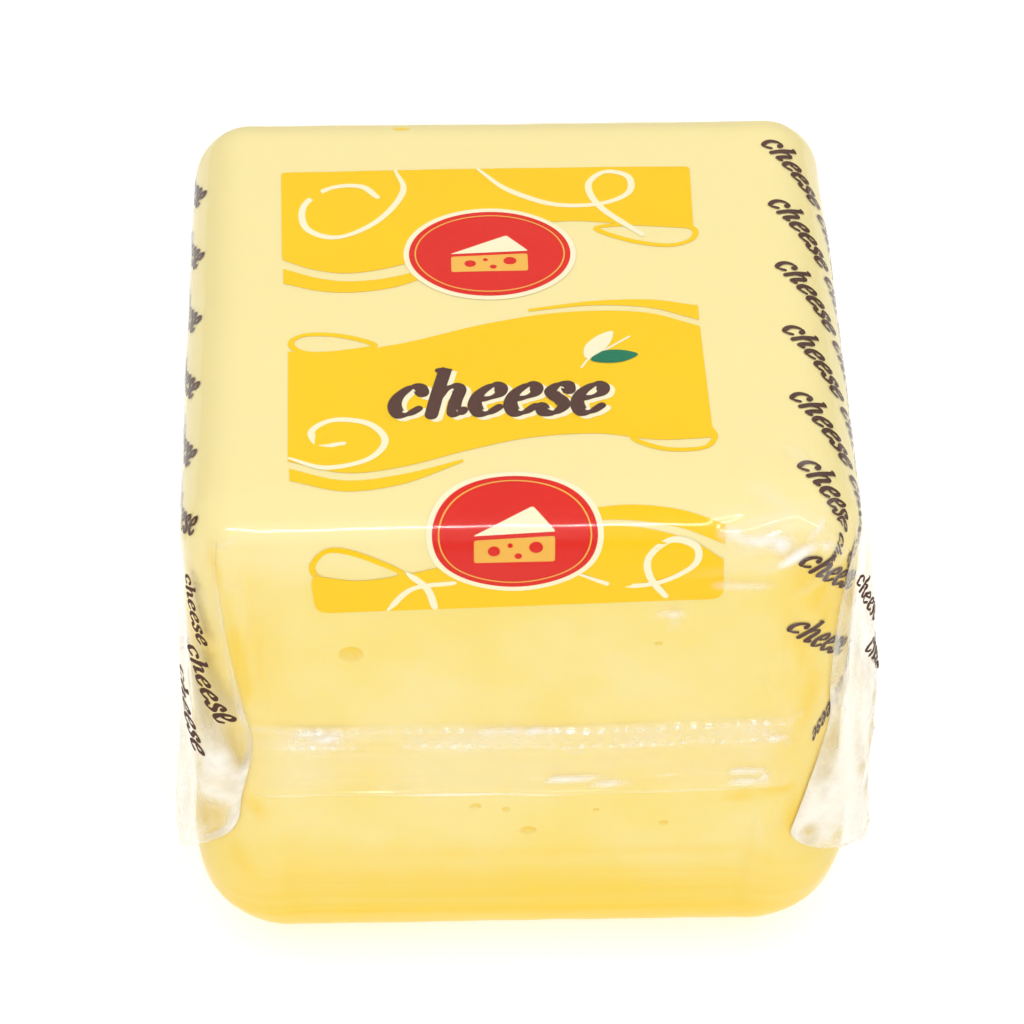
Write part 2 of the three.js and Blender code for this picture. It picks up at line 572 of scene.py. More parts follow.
def box_skin(xs: Points, ys: Points, zs: Points) -> tuple[Points, Points]:
    """A closed skin of quads on the sharp box, from the places of its grid lines along each axis.

    Args:
        xs: Places along the width.
        ys: Places along the depth.
        zs: Places along the height.

    Returns:
        The points, each of them once, and the quads.
    """
    points, faces, count = [], [], 0
    for axis, (first, second) in enumerate((((1, ys), (2, zs)), ((2, zs), (0, xs)), ((0, xs), (1, ys)))):
        for end in (0, -1):
            a, b = np.meshgrid(first[1], second[1], indexing="ij")
            patch = np.empty((a.size, 3))
            patch[:, first[0]], patch[:, second[0]] = a.ravel(), b.ravel()
            patch[:, axis] = (xs, ys, zs)[axis][end]
            points.append(patch)
            faces.append(grid_faces(len(first[1]), len(second[1]), flip=end == -1) + count)
            count += a.size
    points, faces = np.vstack(points), np.vstack(faces)
    _, first_use, shared = np.unique(np.round(points, 4), axis=0, return_index=True, return_inverse=True)
    return points[first_use], shared.reshape(-1)[faces]


def turns_round(points: Points, outline: Outline) -> Points:
    """How many times a closed outline runs round each point.

    Args:
        points: The points.
        outline: The outline.

    Returns:
        One number for each point, which is 0 outside the outline.
    """
    ends = np.roll(outline, -1, 0)
    x, y = points[:, :1], points[:, 1:]
    ax, ay, bx, by = outline[:, 0], outline[:, 1], ends[:, 0], ends[:, 1]
    cross = (bx - ax) * (y - ay) - (x - ax) * (by - ay)
    up = (ay <= y) & (by > y) & (cross > 0)
    down = (ay > y) & (by <= y) & (cross < 0)
    return up.sum(1) - down.sum(1)


def fill(outlines: Sequence[Outline], step: tuple[float, float]) -> tuple[Points, Points]:
    """Fills outlines with triangles that are small enough to bend round the block.

    Args:
        outlines: Closed outlines: anticlockwise ones are filled and clockwise ones are cut out.
        step: How far apart the cuts are along the first and the second coordinate.

    Returns:
        The flat points and the triangles.
    """
    points: list[Vector] = []
    edges: list[tuple[int, int]] = []
    for outline in outlines:
        start, size = len(points), len(outline)
        points += [Vector(point) for point in outline]
        edges += [(start + i, start + (i + 1) % size) for i in range(size)]
    low = np.min([outline.min(0) for outline in outlines], 0) - 0.5
    high = np.max([outline.max(0) for outline in outlines], 0) + 0.5
    for axis in (0, 1):
        for at in np.arange(low[axis] + step[axis] / 2, high[axis], step[axis]):
            ends = np.array([low, high])
            ends[:, axis] = at
            edges.append((len(points), len(points) + 1))
            points += [Vector(end) for end in ends]
    made = delaunay_2d_cdt(points, edges, [], 0, CLOSE)
    flat, triangles = np.array([tuple(point) for point in made[0]]), np.array(made[2])
    centres = flat[triangles].mean(1)
    turns = np.zeros(len(centres), int)
    for outline in outlines:
        near = ((centres > outline.min(0)) & (centres < outline.max(0))).all(1)
        turns[near] += turns_round(centres[near], outline)
    triangles = triangles[turns != 0]
    used, shared = np.unique(triangles, return_inverse=True)
    return flat[used], shared.reshape(triangles.shape)


# ---------------------------------------------------------------------------------------------------------
# Finishes
# ---------------------------------------------------------------------------------------------------------


class NodeSketch:
    """Places nodes in a tree from left to right and links them by name."""

    def __init__(self, tree: bpy.types.NodeTree) -> None:
        """Starts with an empty tree.

        Args:
            tree: The tree to draw in.
        """
        self.tree = tree
        tree.nodes.clear()
        self.column = 0

    def add(self, kind: str, inputs: dict | None = None, **settings: object) -> bpy.types.Node:
        """Adds a node.

        Args:
            kind: The node's type name.
            inputs: A value or an output socket for each named or numbered input.
            settings: The node's own settings.

        Returns:
            The new node.
        """
        node = self.tree.nodes.new(kind)
        node.location = (self.column * 180, 0)
        self.column += 1
        for key, value in settings.items():
            setattr(node, key, value)
        for key, value in (inputs or {}).items():
            if isinstance(value, bpy.types.NodeSocket):
                self.tree.links.new(value, node.inputs[key])
            else:
                node.inputs[key].default_value = value
        return node


def new_group(name: str, inputs: dict[str, tuple[str, object]], outputs: dict[str, str]) -> NodeSketch:
    """Starts a shader node group.

    Args:
        name: The group's name.
        inputs: A socket type and a default for each input.
        outputs: A socket type for each output.

    Returns:
        A sketch of the group's tree, with its "Group Input" node in place.
    """
    tree = bpy.data.node_groups.new(name, "ShaderNodeTree")
    for socket_name, (kind, default) in inputs.items():
        socket = tree.interface.new_socket(socket_name, in_out="INPUT", socket_type=kind)
        socket.default_value = default
    for socket_name, kind in outputs.items():
        tree.interface.new_socket(socket_name, in_out="OUTPUT", socket_type=kind)
    sketch = NodeSketch(tree)
    sketch.add("NodeGroupInput")
    return sketch


def mottle_group() -> bpy.types.NodeTree:
    """Makes the node group of soft patches and fine grain that cheese, ink and film all use.

    Returns:
        The group's tree.
    """
    sketch = new_group(
        "Mottle",
        {
            "Base": ("NodeSocketColor", WHITE),
            "Patch": ("NodeSocketColor", WHITE),
            "Patch Scale": ("NodeSocketFloat", 60.0),
            "Patch Share": ("NodeSocketFloat", 0.5),
            "Grain Scale": ("NodeSocketFloat", 900.0),
            "Stretch": ("NodeSocketVector", (1.0, 1.0, 1.0)),
        },
        {"Color": "NodeSocketColor", "Mask": "NodeSocketFloat", "Grain": "NodeSocketFloat"},
    )
    given = sketch.tree.nodes[0].outputs
    place = sketch.add("ShaderNodeTexCoord")
    scaled = sketch.add(
        "ShaderNodeVectorMath", {0: place.outputs["Object"], 1: given["Stretch"]}, operation="MULTIPLY"
    )
    patches = sketch.add(
        "ShaderNodeTexNoise",
        {"Vector": scaled.outputs[0], "Scale": given["Patch Scale"], "Detail": 4.0, "Roughness": 0.55},
    )
    spread = sketch.add(
        "ShaderNodeMapRange",
        {"Value": patches.outputs["Fac"], "From Min": 0.35, "From Max": 0.68, "To Max": given["Patch Share"]},
    )
    grain = sketch.add(
        "ShaderNodeTexNoise",
        {"Vector": place.outputs["Object"], "Scale": given["Grain Scale"], "Detail": 3.0},
    )
    mixed = sketch.add(
        "ShaderNodeMix",
        {"Factor": spread.outputs["Result"], 6: given["Base"], 7: given["Patch"]},
        data_type="RGBA",
    )
    sketch.add(
        "NodeGroupOutput",
        {"Color": mixed.outputs[2], "Mask": spread.outputs["Result"], "Grain": grain.outputs["Fac"]},
    )
    return sketch.tree


@dataclass(frozen=True)
class Mottling:
    """How fine, how strong and how stretched the mottle of one finish is."""

    scale: float
    share: float = 1.0
    grain: float = 900.0
    stretch: tuple[float, float, float] = (1.0, 1.0, 1.0)

    def add(
        self, sketch: NodeSketch, mottle: bpy.types.NodeTree,
        base: tuple[float, ...] = BLACK, patch: tuple[float, ...] = WHITE,
    ) -> bpy.types.Node:
        """Adds the mottle group to a material.

        Args:
            sketch: The material's tree.
            mottle: The group.
            base: The colour between the patches.
            patch: The colour of the patches.

        Returns:
            The group's node, with its inputs set.
        """
        return sketch.add(
            "ShaderNodeGroup",
            {"Base": base, "Patch": patch, "Patch Scale": self.scale, "Patch Share": self.share,
             "Grain Scale": self.grain, "Stretch": self.stretch},
            node_tree=mottle,
        )


@dataclass(frozen=True)
class CheeseFinish:
    """Moist, waxy, semi-hard cheese, with painted light: a paler top as if lit from above, painted shade
    beside its upright edges where it is also wet, and a painted amber shade at its foot.
    """

    # Painted light: the paler colour of the top face, as if lit from above and veiled by the film.
    top: Colour = (0.92, 0.782, 0.36)
    body: Colour = (0.90, 0.75, 0.30)
    patch: Colour = (0.90, 0.69, 0.15)
    # Partly wet cheese and partly painted shade: the deeper yellow beside the upright edges and under the
    # seal fin's right end.
    wet_shade: Colour = (0.89, 0.60, 0.03)
    # Painted shade: the deeper amber of the lower front and the foot, where less light falls.
    shade_amber: Colour = (0.89, 0.60, 0.015)
    spot: Colour = (0.89, 0.62, 0.055)
    roughness: float = 0.42
    patches: Mottling = Mottling(48.0, 0.75, grain=700.0)
    layers: Mottling = Mottling(24.0, stretch=(0.35, 0.35, 11.0))
    runs: Mottling = Mottling(30.0, stretch=(7.0, 7.0, 0.6))
    top_height: float = 98.0
    top_blend: float = 9.0
    shade_amber_height: float = 9.0
    streak_height: float = 37.0
    least_shade_amber: float = 0.52
    least_wet_shade: float = 0.5

    def build(self, mottle: bpy.types.NodeTree) -> bpy.types.Material:
        """Makes the material.

        Args:
            mottle: The shared mottle group.

        Returns:
            The material.
        """
        material = bpy.data.materials.new("cheese")
        material.use_nodes = True
        sketch = NodeSketch(material.node_tree)
        mottled = self.patches.add(sketch, mottle, (*self.body, 1), (*self.patch, 1))
        layers = self.layers.add(sketch, mottle)
        runs = self.runs.add(sketch, mottle)
        place = sketch.add("ShaderNodeTexCoord")
        height = sketch.add("ShaderNodeSeparateXYZ", {0: place.outputs["Object"]})
        # Painted light: the block turns to the paler top colour near its top, as if lit from above.
        pale_from = self.top_height - self.top_blend
        pale = self._between(sketch, height.outputs["Z"], pale_from, self.top_height, 1.0)
        colour = self._tint(sketch, mottled.outputs["Color"], self.top, pale)
        # Painted shade: deeper amber towards the foot, in horizontal streaks low on the sides, then fully at
        # the foot.
        low = self._between(sketch, height.outputs["Z"], self.streak_height, self.shade_amber_height, 1.0)
        bands = sketch.add(
            "ShaderNodeMapRange", {"Value": layers.outputs["Mask"], "To Min": self.least_shade_amber}
        )
        colour = self._tint(sketch, colour, self.shade_amber, self._times(sketch, low, bands.outputs[0]))
        foot = self._between(sketch, height.outputs["Z"], 2 * self.shade_amber_height, 2.0, 0.9)
        colour = self._tint(sketch, colour, self.shade_amber, foot)
        # Partly wet cheese and partly painted shade, read from the mesh.
        wet_shade = sketch.add("ShaderNodeAttribute", attribute_name="wet_shade")
        wet_shade_spread = sketch.add(
            "ShaderNodeMapRange", {"Value": runs.outputs["Mask"], "To Min": self.least_wet_shade}
        )
        colour = self._tint(
            sketch, colour, self.wet_shade, self._times(sketch, wet_shade.outputs["Fac"], wet_shade_spread.outputs[0])
        )
        # The eyes' own amber, with painted shade darker on one side of each bowl.
        eye_spots_and_shade = sketch.add("ShaderNodeAttribute", attribute_name="eye_spots_and_shade")
        colour = self._tint(sketch, colour, self.spot, eye_spots_and_shade.outputs["Fac"])
        rough = sketch.add(
            "ShaderNodeMapRange",
            {"Value": mottled.outputs["Grain"], "To Min": self.roughness - 0.08,
             "To Max": self.roughness + 0.1},
        )
        bump = sketch.add(
            "ShaderNodeBump",
            {"Height": mottled.outputs["Grain"], "Strength": 0.12, "Distance": 0.2 * MM},
        )
        shader = sketch.add(
            "ShaderNodeBsdfPrincipled",
            {
                "Base Color": colour, "Roughness": rough.outputs[0], "Normal": bump.outputs[0],
                "Subsurface Weight": 0.12, "Subsurface Scale": 3.0 * MM,
                "Subsurface Radius": (1.0, 0.7, 0.3), "Specular IOR Level": 0.12,
            },
        )
        sketch.add("ShaderNodeOutputMaterial", {"Surface": shader.outputs[0]})
        return material

    @staticmethod
    def _between(
        sketch: NodeSketch, height: bpy.types.NodeSocket, start: float, end: float, most: float
    ) -> bpy.types.NodeSocket:
        """A share that grows from 0 at one height to its most at another.

        Args:
            sketch: The material's tree.
            height: The socket of the height.
            start: The height where the share is 0.
            end: The height where it is most.
            most: The largest share.

        Returns:
            The socket of the share.
        """
        return sketch.add(
            "ShaderNodeMapRange",
            {"Value": height, "From Min": start * MM, "From Max": end * MM, "To Max": most},
            interpolation_type="SMOOTHSTEP",
        ).outputs[0]

    @staticmethod
    def _times(
        sketch: NodeSketch, first: bpy.types.NodeSocket, second: bpy.types.NodeSocket
    ) -> bpy.types.NodeSocket:
        """The product of two shares."""
        return sketch.add("ShaderNodeMath", {0: first, 1: second}, operation="MULTIPLY").outputs[0]

    @staticmethod
    def _tint(
        sketch: NodeSketch, below: bpy.types.NodeSocket, colour: Colour, share: bpy.types.NodeSocket
    ) -> bpy.types.NodeSocket:
        """A colour laid over what is below it, by a share.

        Args:
            sketch: The material's tree.
            below: The socket of the colour below.
            colour: The colour on top.
            share: The socket of its share.

        Returns:
            The socket of the mixed colour.
        """
        return sketch.add(
            "ShaderNodeMix", {"Factor": share, 6: below, 7: (*colour, 1)}, data_type="RGBA"
        ).outputs[2]


@dataclass(frozen=True)
class InkFinish:
    """Ink printed on the inner side of the film."""

    name: str
    colour: Colour
    shade: Colour
    coat: Mottling = Mottling(45.0, 0.6, grain=2500.0)

    def build(self, mottle: bpy.types.NodeTree) -> bpy.types.Material:
        """Makes the material.

        Args:
            mottle: The shared mottle group.

        Returns:
            The material.
        """
        material = bpy.data.materials.new(self.name)
        material.use_nodes = True
        sketch = NodeSketch(material.node_tree)
        mottled = self.coat.add(sketch, mottle, (*self.colour, 1), (*self.shade, 1))
        rough = sketch.add(
            "ShaderNodeMapRange", {"Value": mottled.outputs["Grain"], "To Min": 0.4, "To Max": 0.55}
        )
        shader = sketch.add(
            "ShaderNodeBsdfPrincipled",
            {"Base Color": mottled.outputs["Color"], "Roughness": rough.outputs[0],
             "Specular IOR Level": 0.03},
        )
        sketch.add("ShaderNodeOutputMaterial", {"Surface": shader.outputs[0]})
        return material


@dataclass(frozen=True)
class FilmFinish:
    """Clear glossy packing film, milky where it is doubled and crumpled: its white diffuse milk is partly the
    film's haze and partly painted highlights and reflections.
    """

    name: str
    mirror_index: float
    roughness: float
    milk_and_sheen: Colour = (1.0, 0.99, 0.965)
    clouds: Mottling = Mottling(160.0, grain=420.0)

    def build(self, mottle: bpy.types.NodeTree) -> bpy.types.Material:
        """Makes the material.

        Args:
            mottle: The shared mottle group.

        Returns:
            The material.
        """
        material = bpy.data.materials.new(self.name)
        material.use_nodes = True
        sketch = NodeSketch(material.node_tree)
        mottled = self.clouds.add(sketch, mottle)
        # Partly the film's haze and partly painted highlights and reflections, read from the mesh.
        haze_and_sheen = sketch.add("ShaderNodeAttribute", attribute_name="haze_and_sheen")
        cloud = sketch.add(
            "ShaderNodeMapRange", {"Value": mottled.outputs["Mask"], "To Min": 0.7, "To Max": 1.1}
        )
        milk_and_sheen_share = sketch.add(
            "ShaderNodeMath", {0: haze_and_sheen.outputs["Fac"], 1: cloud.outputs[0]}, operation="MULTIPLY",
            use_clamp=True,
        )
        bump = sketch.add(
            "ShaderNodeBump", {"Height": mottled.outputs["Grain"], "Strength": 0.1, "Distance": 0.1 * MM}
        )
        mirror = sketch.add(
            "ShaderNodeBsdfGlossy",
            {"Color": WHITE, "Roughness": self.roughness, "Normal": bump.outputs[0]},
        )
        clear = sketch.add("ShaderNodeBsdfTransparent", {"Color": WHITE})
        white = sketch.add("ShaderNodeBsdfDiffuse", {"Color": (*self.milk_and_sheen, 1)})
        body = sketch.add(
            "ShaderNodeMixShader", {0: milk_and_sheen_share.outputs[0], 1: clear.outputs[0], 2: white.outputs[0]}
        )
        behind = sketch.add("ShaderNodeNewGeometry")
        index = sketch.add(
            "ShaderNodeMapRange",
            {"Value": behind.outputs["Backfacing"], "To Min": self.mirror_index,
             "To Max": 1 / self.mirror_index},
        )
        edge_on = sketch.add(
            "ShaderNodeFresnel", {"IOR": index.outputs[0], "Normal": bump.outputs[0]}
        )
        shader = sketch.add(
            "ShaderNodeMixShader", {0: edge_on.outputs[0], 1: body.outputs[0], 2: mirror.outputs[0]}
        )
        sketch.add("ShaderNodeOutputMaterial", {"Surface": shader.outputs[0]})
        return material


class Ink(Enum):
    """The inks of the print, and the material name of each."""

    YELLOW = "print_yellow"
    RED = "print_red"
    BROWN = "print_brown"
    CREAM = "print_cream"
    GOLD = "print_gold"
    GREEN = "print_green"


class Finishes:
    """All the pack's materials."""

    def __init__(self) -> None:
        """Builds each material once, on one shared node group."""
        mottle = mottle_group()
        self.cheese = CheeseFinish().build(mottle)
        self.film = FilmFinish("clear_film", mirror_index=1.2, roughness=0.1).build(mottle)
        self.sealed_film = FilmFinish("sealed_film", mirror_index=1.34, roughness=0.13).build(mottle)
        # The doubled film's cream milk is partly painted light bounced from the yellow cheese.
        self.doubled_film = FilmFinish(
            "doubled_film", mirror_index=1.3, roughness=0.13, milk_and_sheen=(0.94, 0.89, 0.77)
        ).build(mottle)
        inks = {
            Ink.YELLOW: ((0.93, 0.60, 0.008), (0.93, 0.57, 0.006)),
            Ink.RED: ((0.75, 0.022, 0.012), (0.68, 0.018, 0.012)),
            Ink.BROWN: ((0.10, 0.045, 0.032), (0.075, 0.034, 0.026)),
            Ink.CREAM: ((0.94, 0.87, 0.60), (0.93, 0.84, 0.54)),
            Ink.GOLD: ((0.90, 0.50, 0.09), (0.84, 0.42, 0.06)),
            Ink.GREEN: ((0.012, 0.20, 0.10), (0.010, 0.15, 0.08)),
        }
        self.inks = {
            ink: InkFinish(ink.value, colour, shade).build(mottle) for ink, (colour, shade) in inks.items()
        }


# ---------------------------------------------------------------------------------------------------------
# The cheese
# ---------------------------------------------------------------------------------------------------------


@dataclass(frozen=True)
class Eye:
    """A small gas hole in the cheese, cut open at the surface."""

    place: tuple[float, float, float]
    radii: tuple[float, float]
    depth: float


@dataclass
class CheeseBlock:
    """The block of cheese, cast in a mould, with a few small eyes open at its surface."""

    step: float = 1.6
    fine_from: float = 37.0
    lift: float = 0.2
    eye_margin: float = 1.0
    eye_edge: float = 0.3
    eye_cuts: int = 3
    eye_depth: float = 4.0
    wet_shade_corner: float = 0.3
    # Where the wetness and the painted shade start and over what distance they grow, outwards, down from the
    # top and up.
    wet_shade_end: tuple[float, float] = (41.0, 5.0)
    wet_shade_side: tuple[float, float] = (36.5, 5.0)
    wet_shade_top: tuple[float, float] = (-100.0, 8.0)
    wet_shade_foot: tuple[float, float] = (22.0, 14.0)
    # The wetter runs, as long soft ridges: partly wet cheese and partly painted shade where the surface turns
    # away, with a painted shadow under the seal fin's right end.
    wet_shade_strength: float = 1.7
    wet_shade_runs: tuple[Crease, ...] = (
        Crease((-47.9, -49.0, 99.0), (-46.4, -50.0, 88.0), 0.8, 1.7),
        Crease((-46.0, -50.0, 90.0), (-44.8, -50.0, 79.0), 0.6, 1.6),
        Crease((-44.9, -50.0, 82.0), (-43.0, -50.0, 64.0), 1.0, 2.4),
        Crease((-41.5, -50.0, 88.0), (-40.5, -50.0, 62.0), 0.35, 6.0),
        Crease((-50.5, -47.5, 84.0), (-48.5, -49.0, 64.0), 0.9, 3.2),
        Crease((-52.5, -40.0, 88.0), (-52.5, -43.0, 60.0), 0.5, 7.0),
        Crease((-44.0, -50.0, 42.0), (-41.0, -50.0, 37.0), 0.6, 3.0),
        Crease((-46.5, -49.5, 30.0), (-43.0, -50.0, 22.0), 0.4, 3.0),
        Crease((42.5, -50.0, 95.0), (48.5, -48.5, 79.0), 0.8, 4.5),
        Crease((49.0, -48.0, 92.0), (48.5, -48.5, 74.0), 1.0, 4.5),
        Crease((41.0, -50.0, 84.0), (47.0, -49.5, 64.0), 0.55, 3.5),
        Crease((46.5, -49.5, 70.0), (45.0, -50.0, 54.0), 0.75, 3.6),
        Crease((43.5, -50.0, 58.0), (42.0, -50.0, 44.0), 0.4, 4.5),
        # A painted shadow under the right end of the front seal fin.
        Crease((34.0, -50.0, 41.0), (46.0, -50.0, 42.5), 0.8, 1.8),
        Crease((46.0, -49.8, 42.0), (43.0, -50.0, 30.0), 0.5, 4.0),
        Crease((38.0, -50.0, 28.0), (46.0, -49.5, 25.0), 0.4, 3.0),
        Crease((-46.0, -50.0, 28.6), (46.0, -50.0, 27.8), 0.3, 1.3),
        Crease((-38.0, -50.0, 22.4), (14.0, -50.0, 21.6), 0.2, 1.2),
        Crease((-22.0, -50.0, 17.2), (43.0, -49.5, 16.6), 0.25, 1.4),
        Crease((48.5, -47.5, 30.0), (45.5, -48.0, 18.0), 0.6, 3.0),
        Crease((52.5, -42.0, 92.0), (52.5, -43.0, 62.0), 0.5, 6.0),
    )
    eyes: tuple[Eye, ...] = (
        Eye((-26.7, -50.0, 75.7), (1.9, 1.6), 0.7),
        Eye((-7.2, -50.0, 39.3), (0.9, 0.6), 0.4),
        Eye((-2.3, -50.0, 38.4), (0.7, 0.5), 0.3),
        Eye((1.4, -50.0, 33.2), (1.3, 0.9), 0.5),
        Eye((12.3, -50.0, 38.0), (0.5, 0.4), 0.3),
        Eye((23.4, -50.0, 34.4), (0.8, 0.6), 0.4),
        Eye((21.1, -50.0, 77.2), (0.6, 0.4), 0.3),
        Eye((-17.8, 43.8, 104.4), (1.5, 0.8), 0.5),
        Eye((31.0, 50.0, 71.0), (1.8, 1.5), 0.7),
        Eye((-12.0, 50.0, 36.0), (1.2, 1.0), 0.5),
        Eye((8.0, 50.0, 82.0), (0.8, 0.7), 0.4),
        Eye((52.6, 12.0, 66.0), (1.7, 1.3), 0.6),
        Eye((52.6, -21.0, 38.0), (1.0, 0.8), 0.4),
        Eye((-52.6, 20.0, 47.0), (1.6, 1.4), 0.6),
        Eye((-52.6, -14.0, 78.0), (0.9, 0.8), 0.4),
    )

    def build(self, finishes: Finishes) -> bpy.types.Object:
        """Makes the block in place of its plain solid.

        Args:
            finishes: The pack's materials.

        Returns:
            The new piece.
        """
        half_x, half_y, half_z = FORM.half
        fine = self.step / 2
        edges = ((-half_x, -self.fine_from, fine), (self.fine_from, half_x, fine))
        sharp, faces = self._with_eyes(
            *box_skin(
                graded(-half_x, half_x, self.step, edges), graded(-half_y, half_y, self.step, ()),
                graded(-half_z, half_z, self.step, ()),
            )
        )
        points, normals = FORM.surface(sharp, self.lift)
        eye_spots_and_shade = np.zeros(len(points))
        for eye in self.eyes:
            bowl, bowl_shade = self._bowl(eye, points)
            points = points - normals * (eye.depth * bowl)[:, None]
            eye_spots_and_shade = np.maximum(eye_spots_and_shade, np.clip(bowl * 1.3, 0, 1) * bowl_shade)
        piece = make_piece(
            "cheese_body", points, faces, finishes.cheese,
            {"eye_spots_and_shade": eye_spots_and_shade, "wet_shade": self._wet_shade(points)},
        )
        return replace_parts(piece, "cheese_block")

    def _with_eyes(self, points: Points, faces: Points) -> tuple[Points, list[list[int]]]:
        """Cuts the skin finer round each eye.

        Args:
            points: The points of the sharp box's skin.
            faces: Its quads.

        Returns:
            The points and the faces of the finer skin.
        """
        work = bmesh.new()
        for point in points:
            work.verts.new(point)
        work.verts.ensure_lookup_table()
        for face in faces:
            work.faces.new([work.verts[i] for i in face])
        half = np.array(FORM.half)
        for eye in self.eyes:
            centre = np.array(eye.place) - [0, 0, FORM.middle]
            centre = Vector(np.clip(centre, -half, half))
            reach = max(eye.radii) + self.eye_margin
            for _ in range(self.eye_cuts):
                near = {
                    edge for vert in work.verts if (vert.co - centre).length < reach
                    for edge in vert.link_edges if edge.calc_length() > self.eye_edge
                }
                bmesh.ops.subdivide_edges(work, edges=list(near), cuts=1, use_grid_fill=True)
        bmesh.ops.triangulate(work, faces=[face for face in work.faces if len(face.verts) > 4])
        work.verts.index_update()
        cut = np.array([tuple(vert.co) for vert in work.verts])
        made = [[vert.index for vert in face.verts] for face in work.faces]
        work.free()
        return cut, made

    def _bowl(self, eye: Eye, points: Points) -> tuple[Points, Points]:
        """How far each point is into an eye's bowl, and the painted shade on the bowl's side there.

        Args:
            eye: The eye.
            points: The points of the block's surface.

        Returns:
            The depth from 0 to 1, and the painted shade from 0 to 1.
        """
        away = points - np.array(eye.place)
        from_middle = np.abs(np.array(eye.place) - [0, 0, FORM.middle])
        flat_axis = int(np.argmax(from_middle / np.array(FORM.half)))
        across = [axis for axis in range(3) if axis != flat_axis]
        near = np.abs(away[:, flat_axis]) < self.eye_depth
        reach = np.hypot(away[:, across[0]] / eye.radii[0], away[:, across[1]] / eye.radii[1])
        bowl = np.sqrt(np.clip(1 - reach**2, 0, 1)) ** 0.8 * near
        # Painted shade: darker towards one side of the bowl, the upper side on the upright faces.
        return bowl, 0.68 + 0.32 * np.clip(1.6 * away[:, across[1]] / eye.radii[1], -1, 1)

    def _wet_shade(self, points: Points) -> Points:
        """How wet the cheese is, with painted shade: most beside its upright edges, where the film stands off
        and the surface turns away.

        Args:
            points: The points of the block's surface.

        Returns:
            The wetness and painted shade from 0 to 1.
        """
        x, y, z = points.T
        end, side = ramp(np.abs(y), *self.wet_shade_end), ramp(np.abs(x), *self.wet_shade_side)
        rise = ramp(-z, *self.wet_shade_top) * ramp(z, *self.wet_shade_foot)
        wet_shade = self.wet_shade_corner * end * side * rise
        for run in self.wet_shade_runs:
            wet_shade = np.maximum(wet_shade, self.wet_shade_strength * run.lift(points))
        return np.clip(wet_shade, 0, 1)


# ---------------------------------------------------------------------------------------------------------
# The film
# ---------------------------------------------------------------------------------------------------------


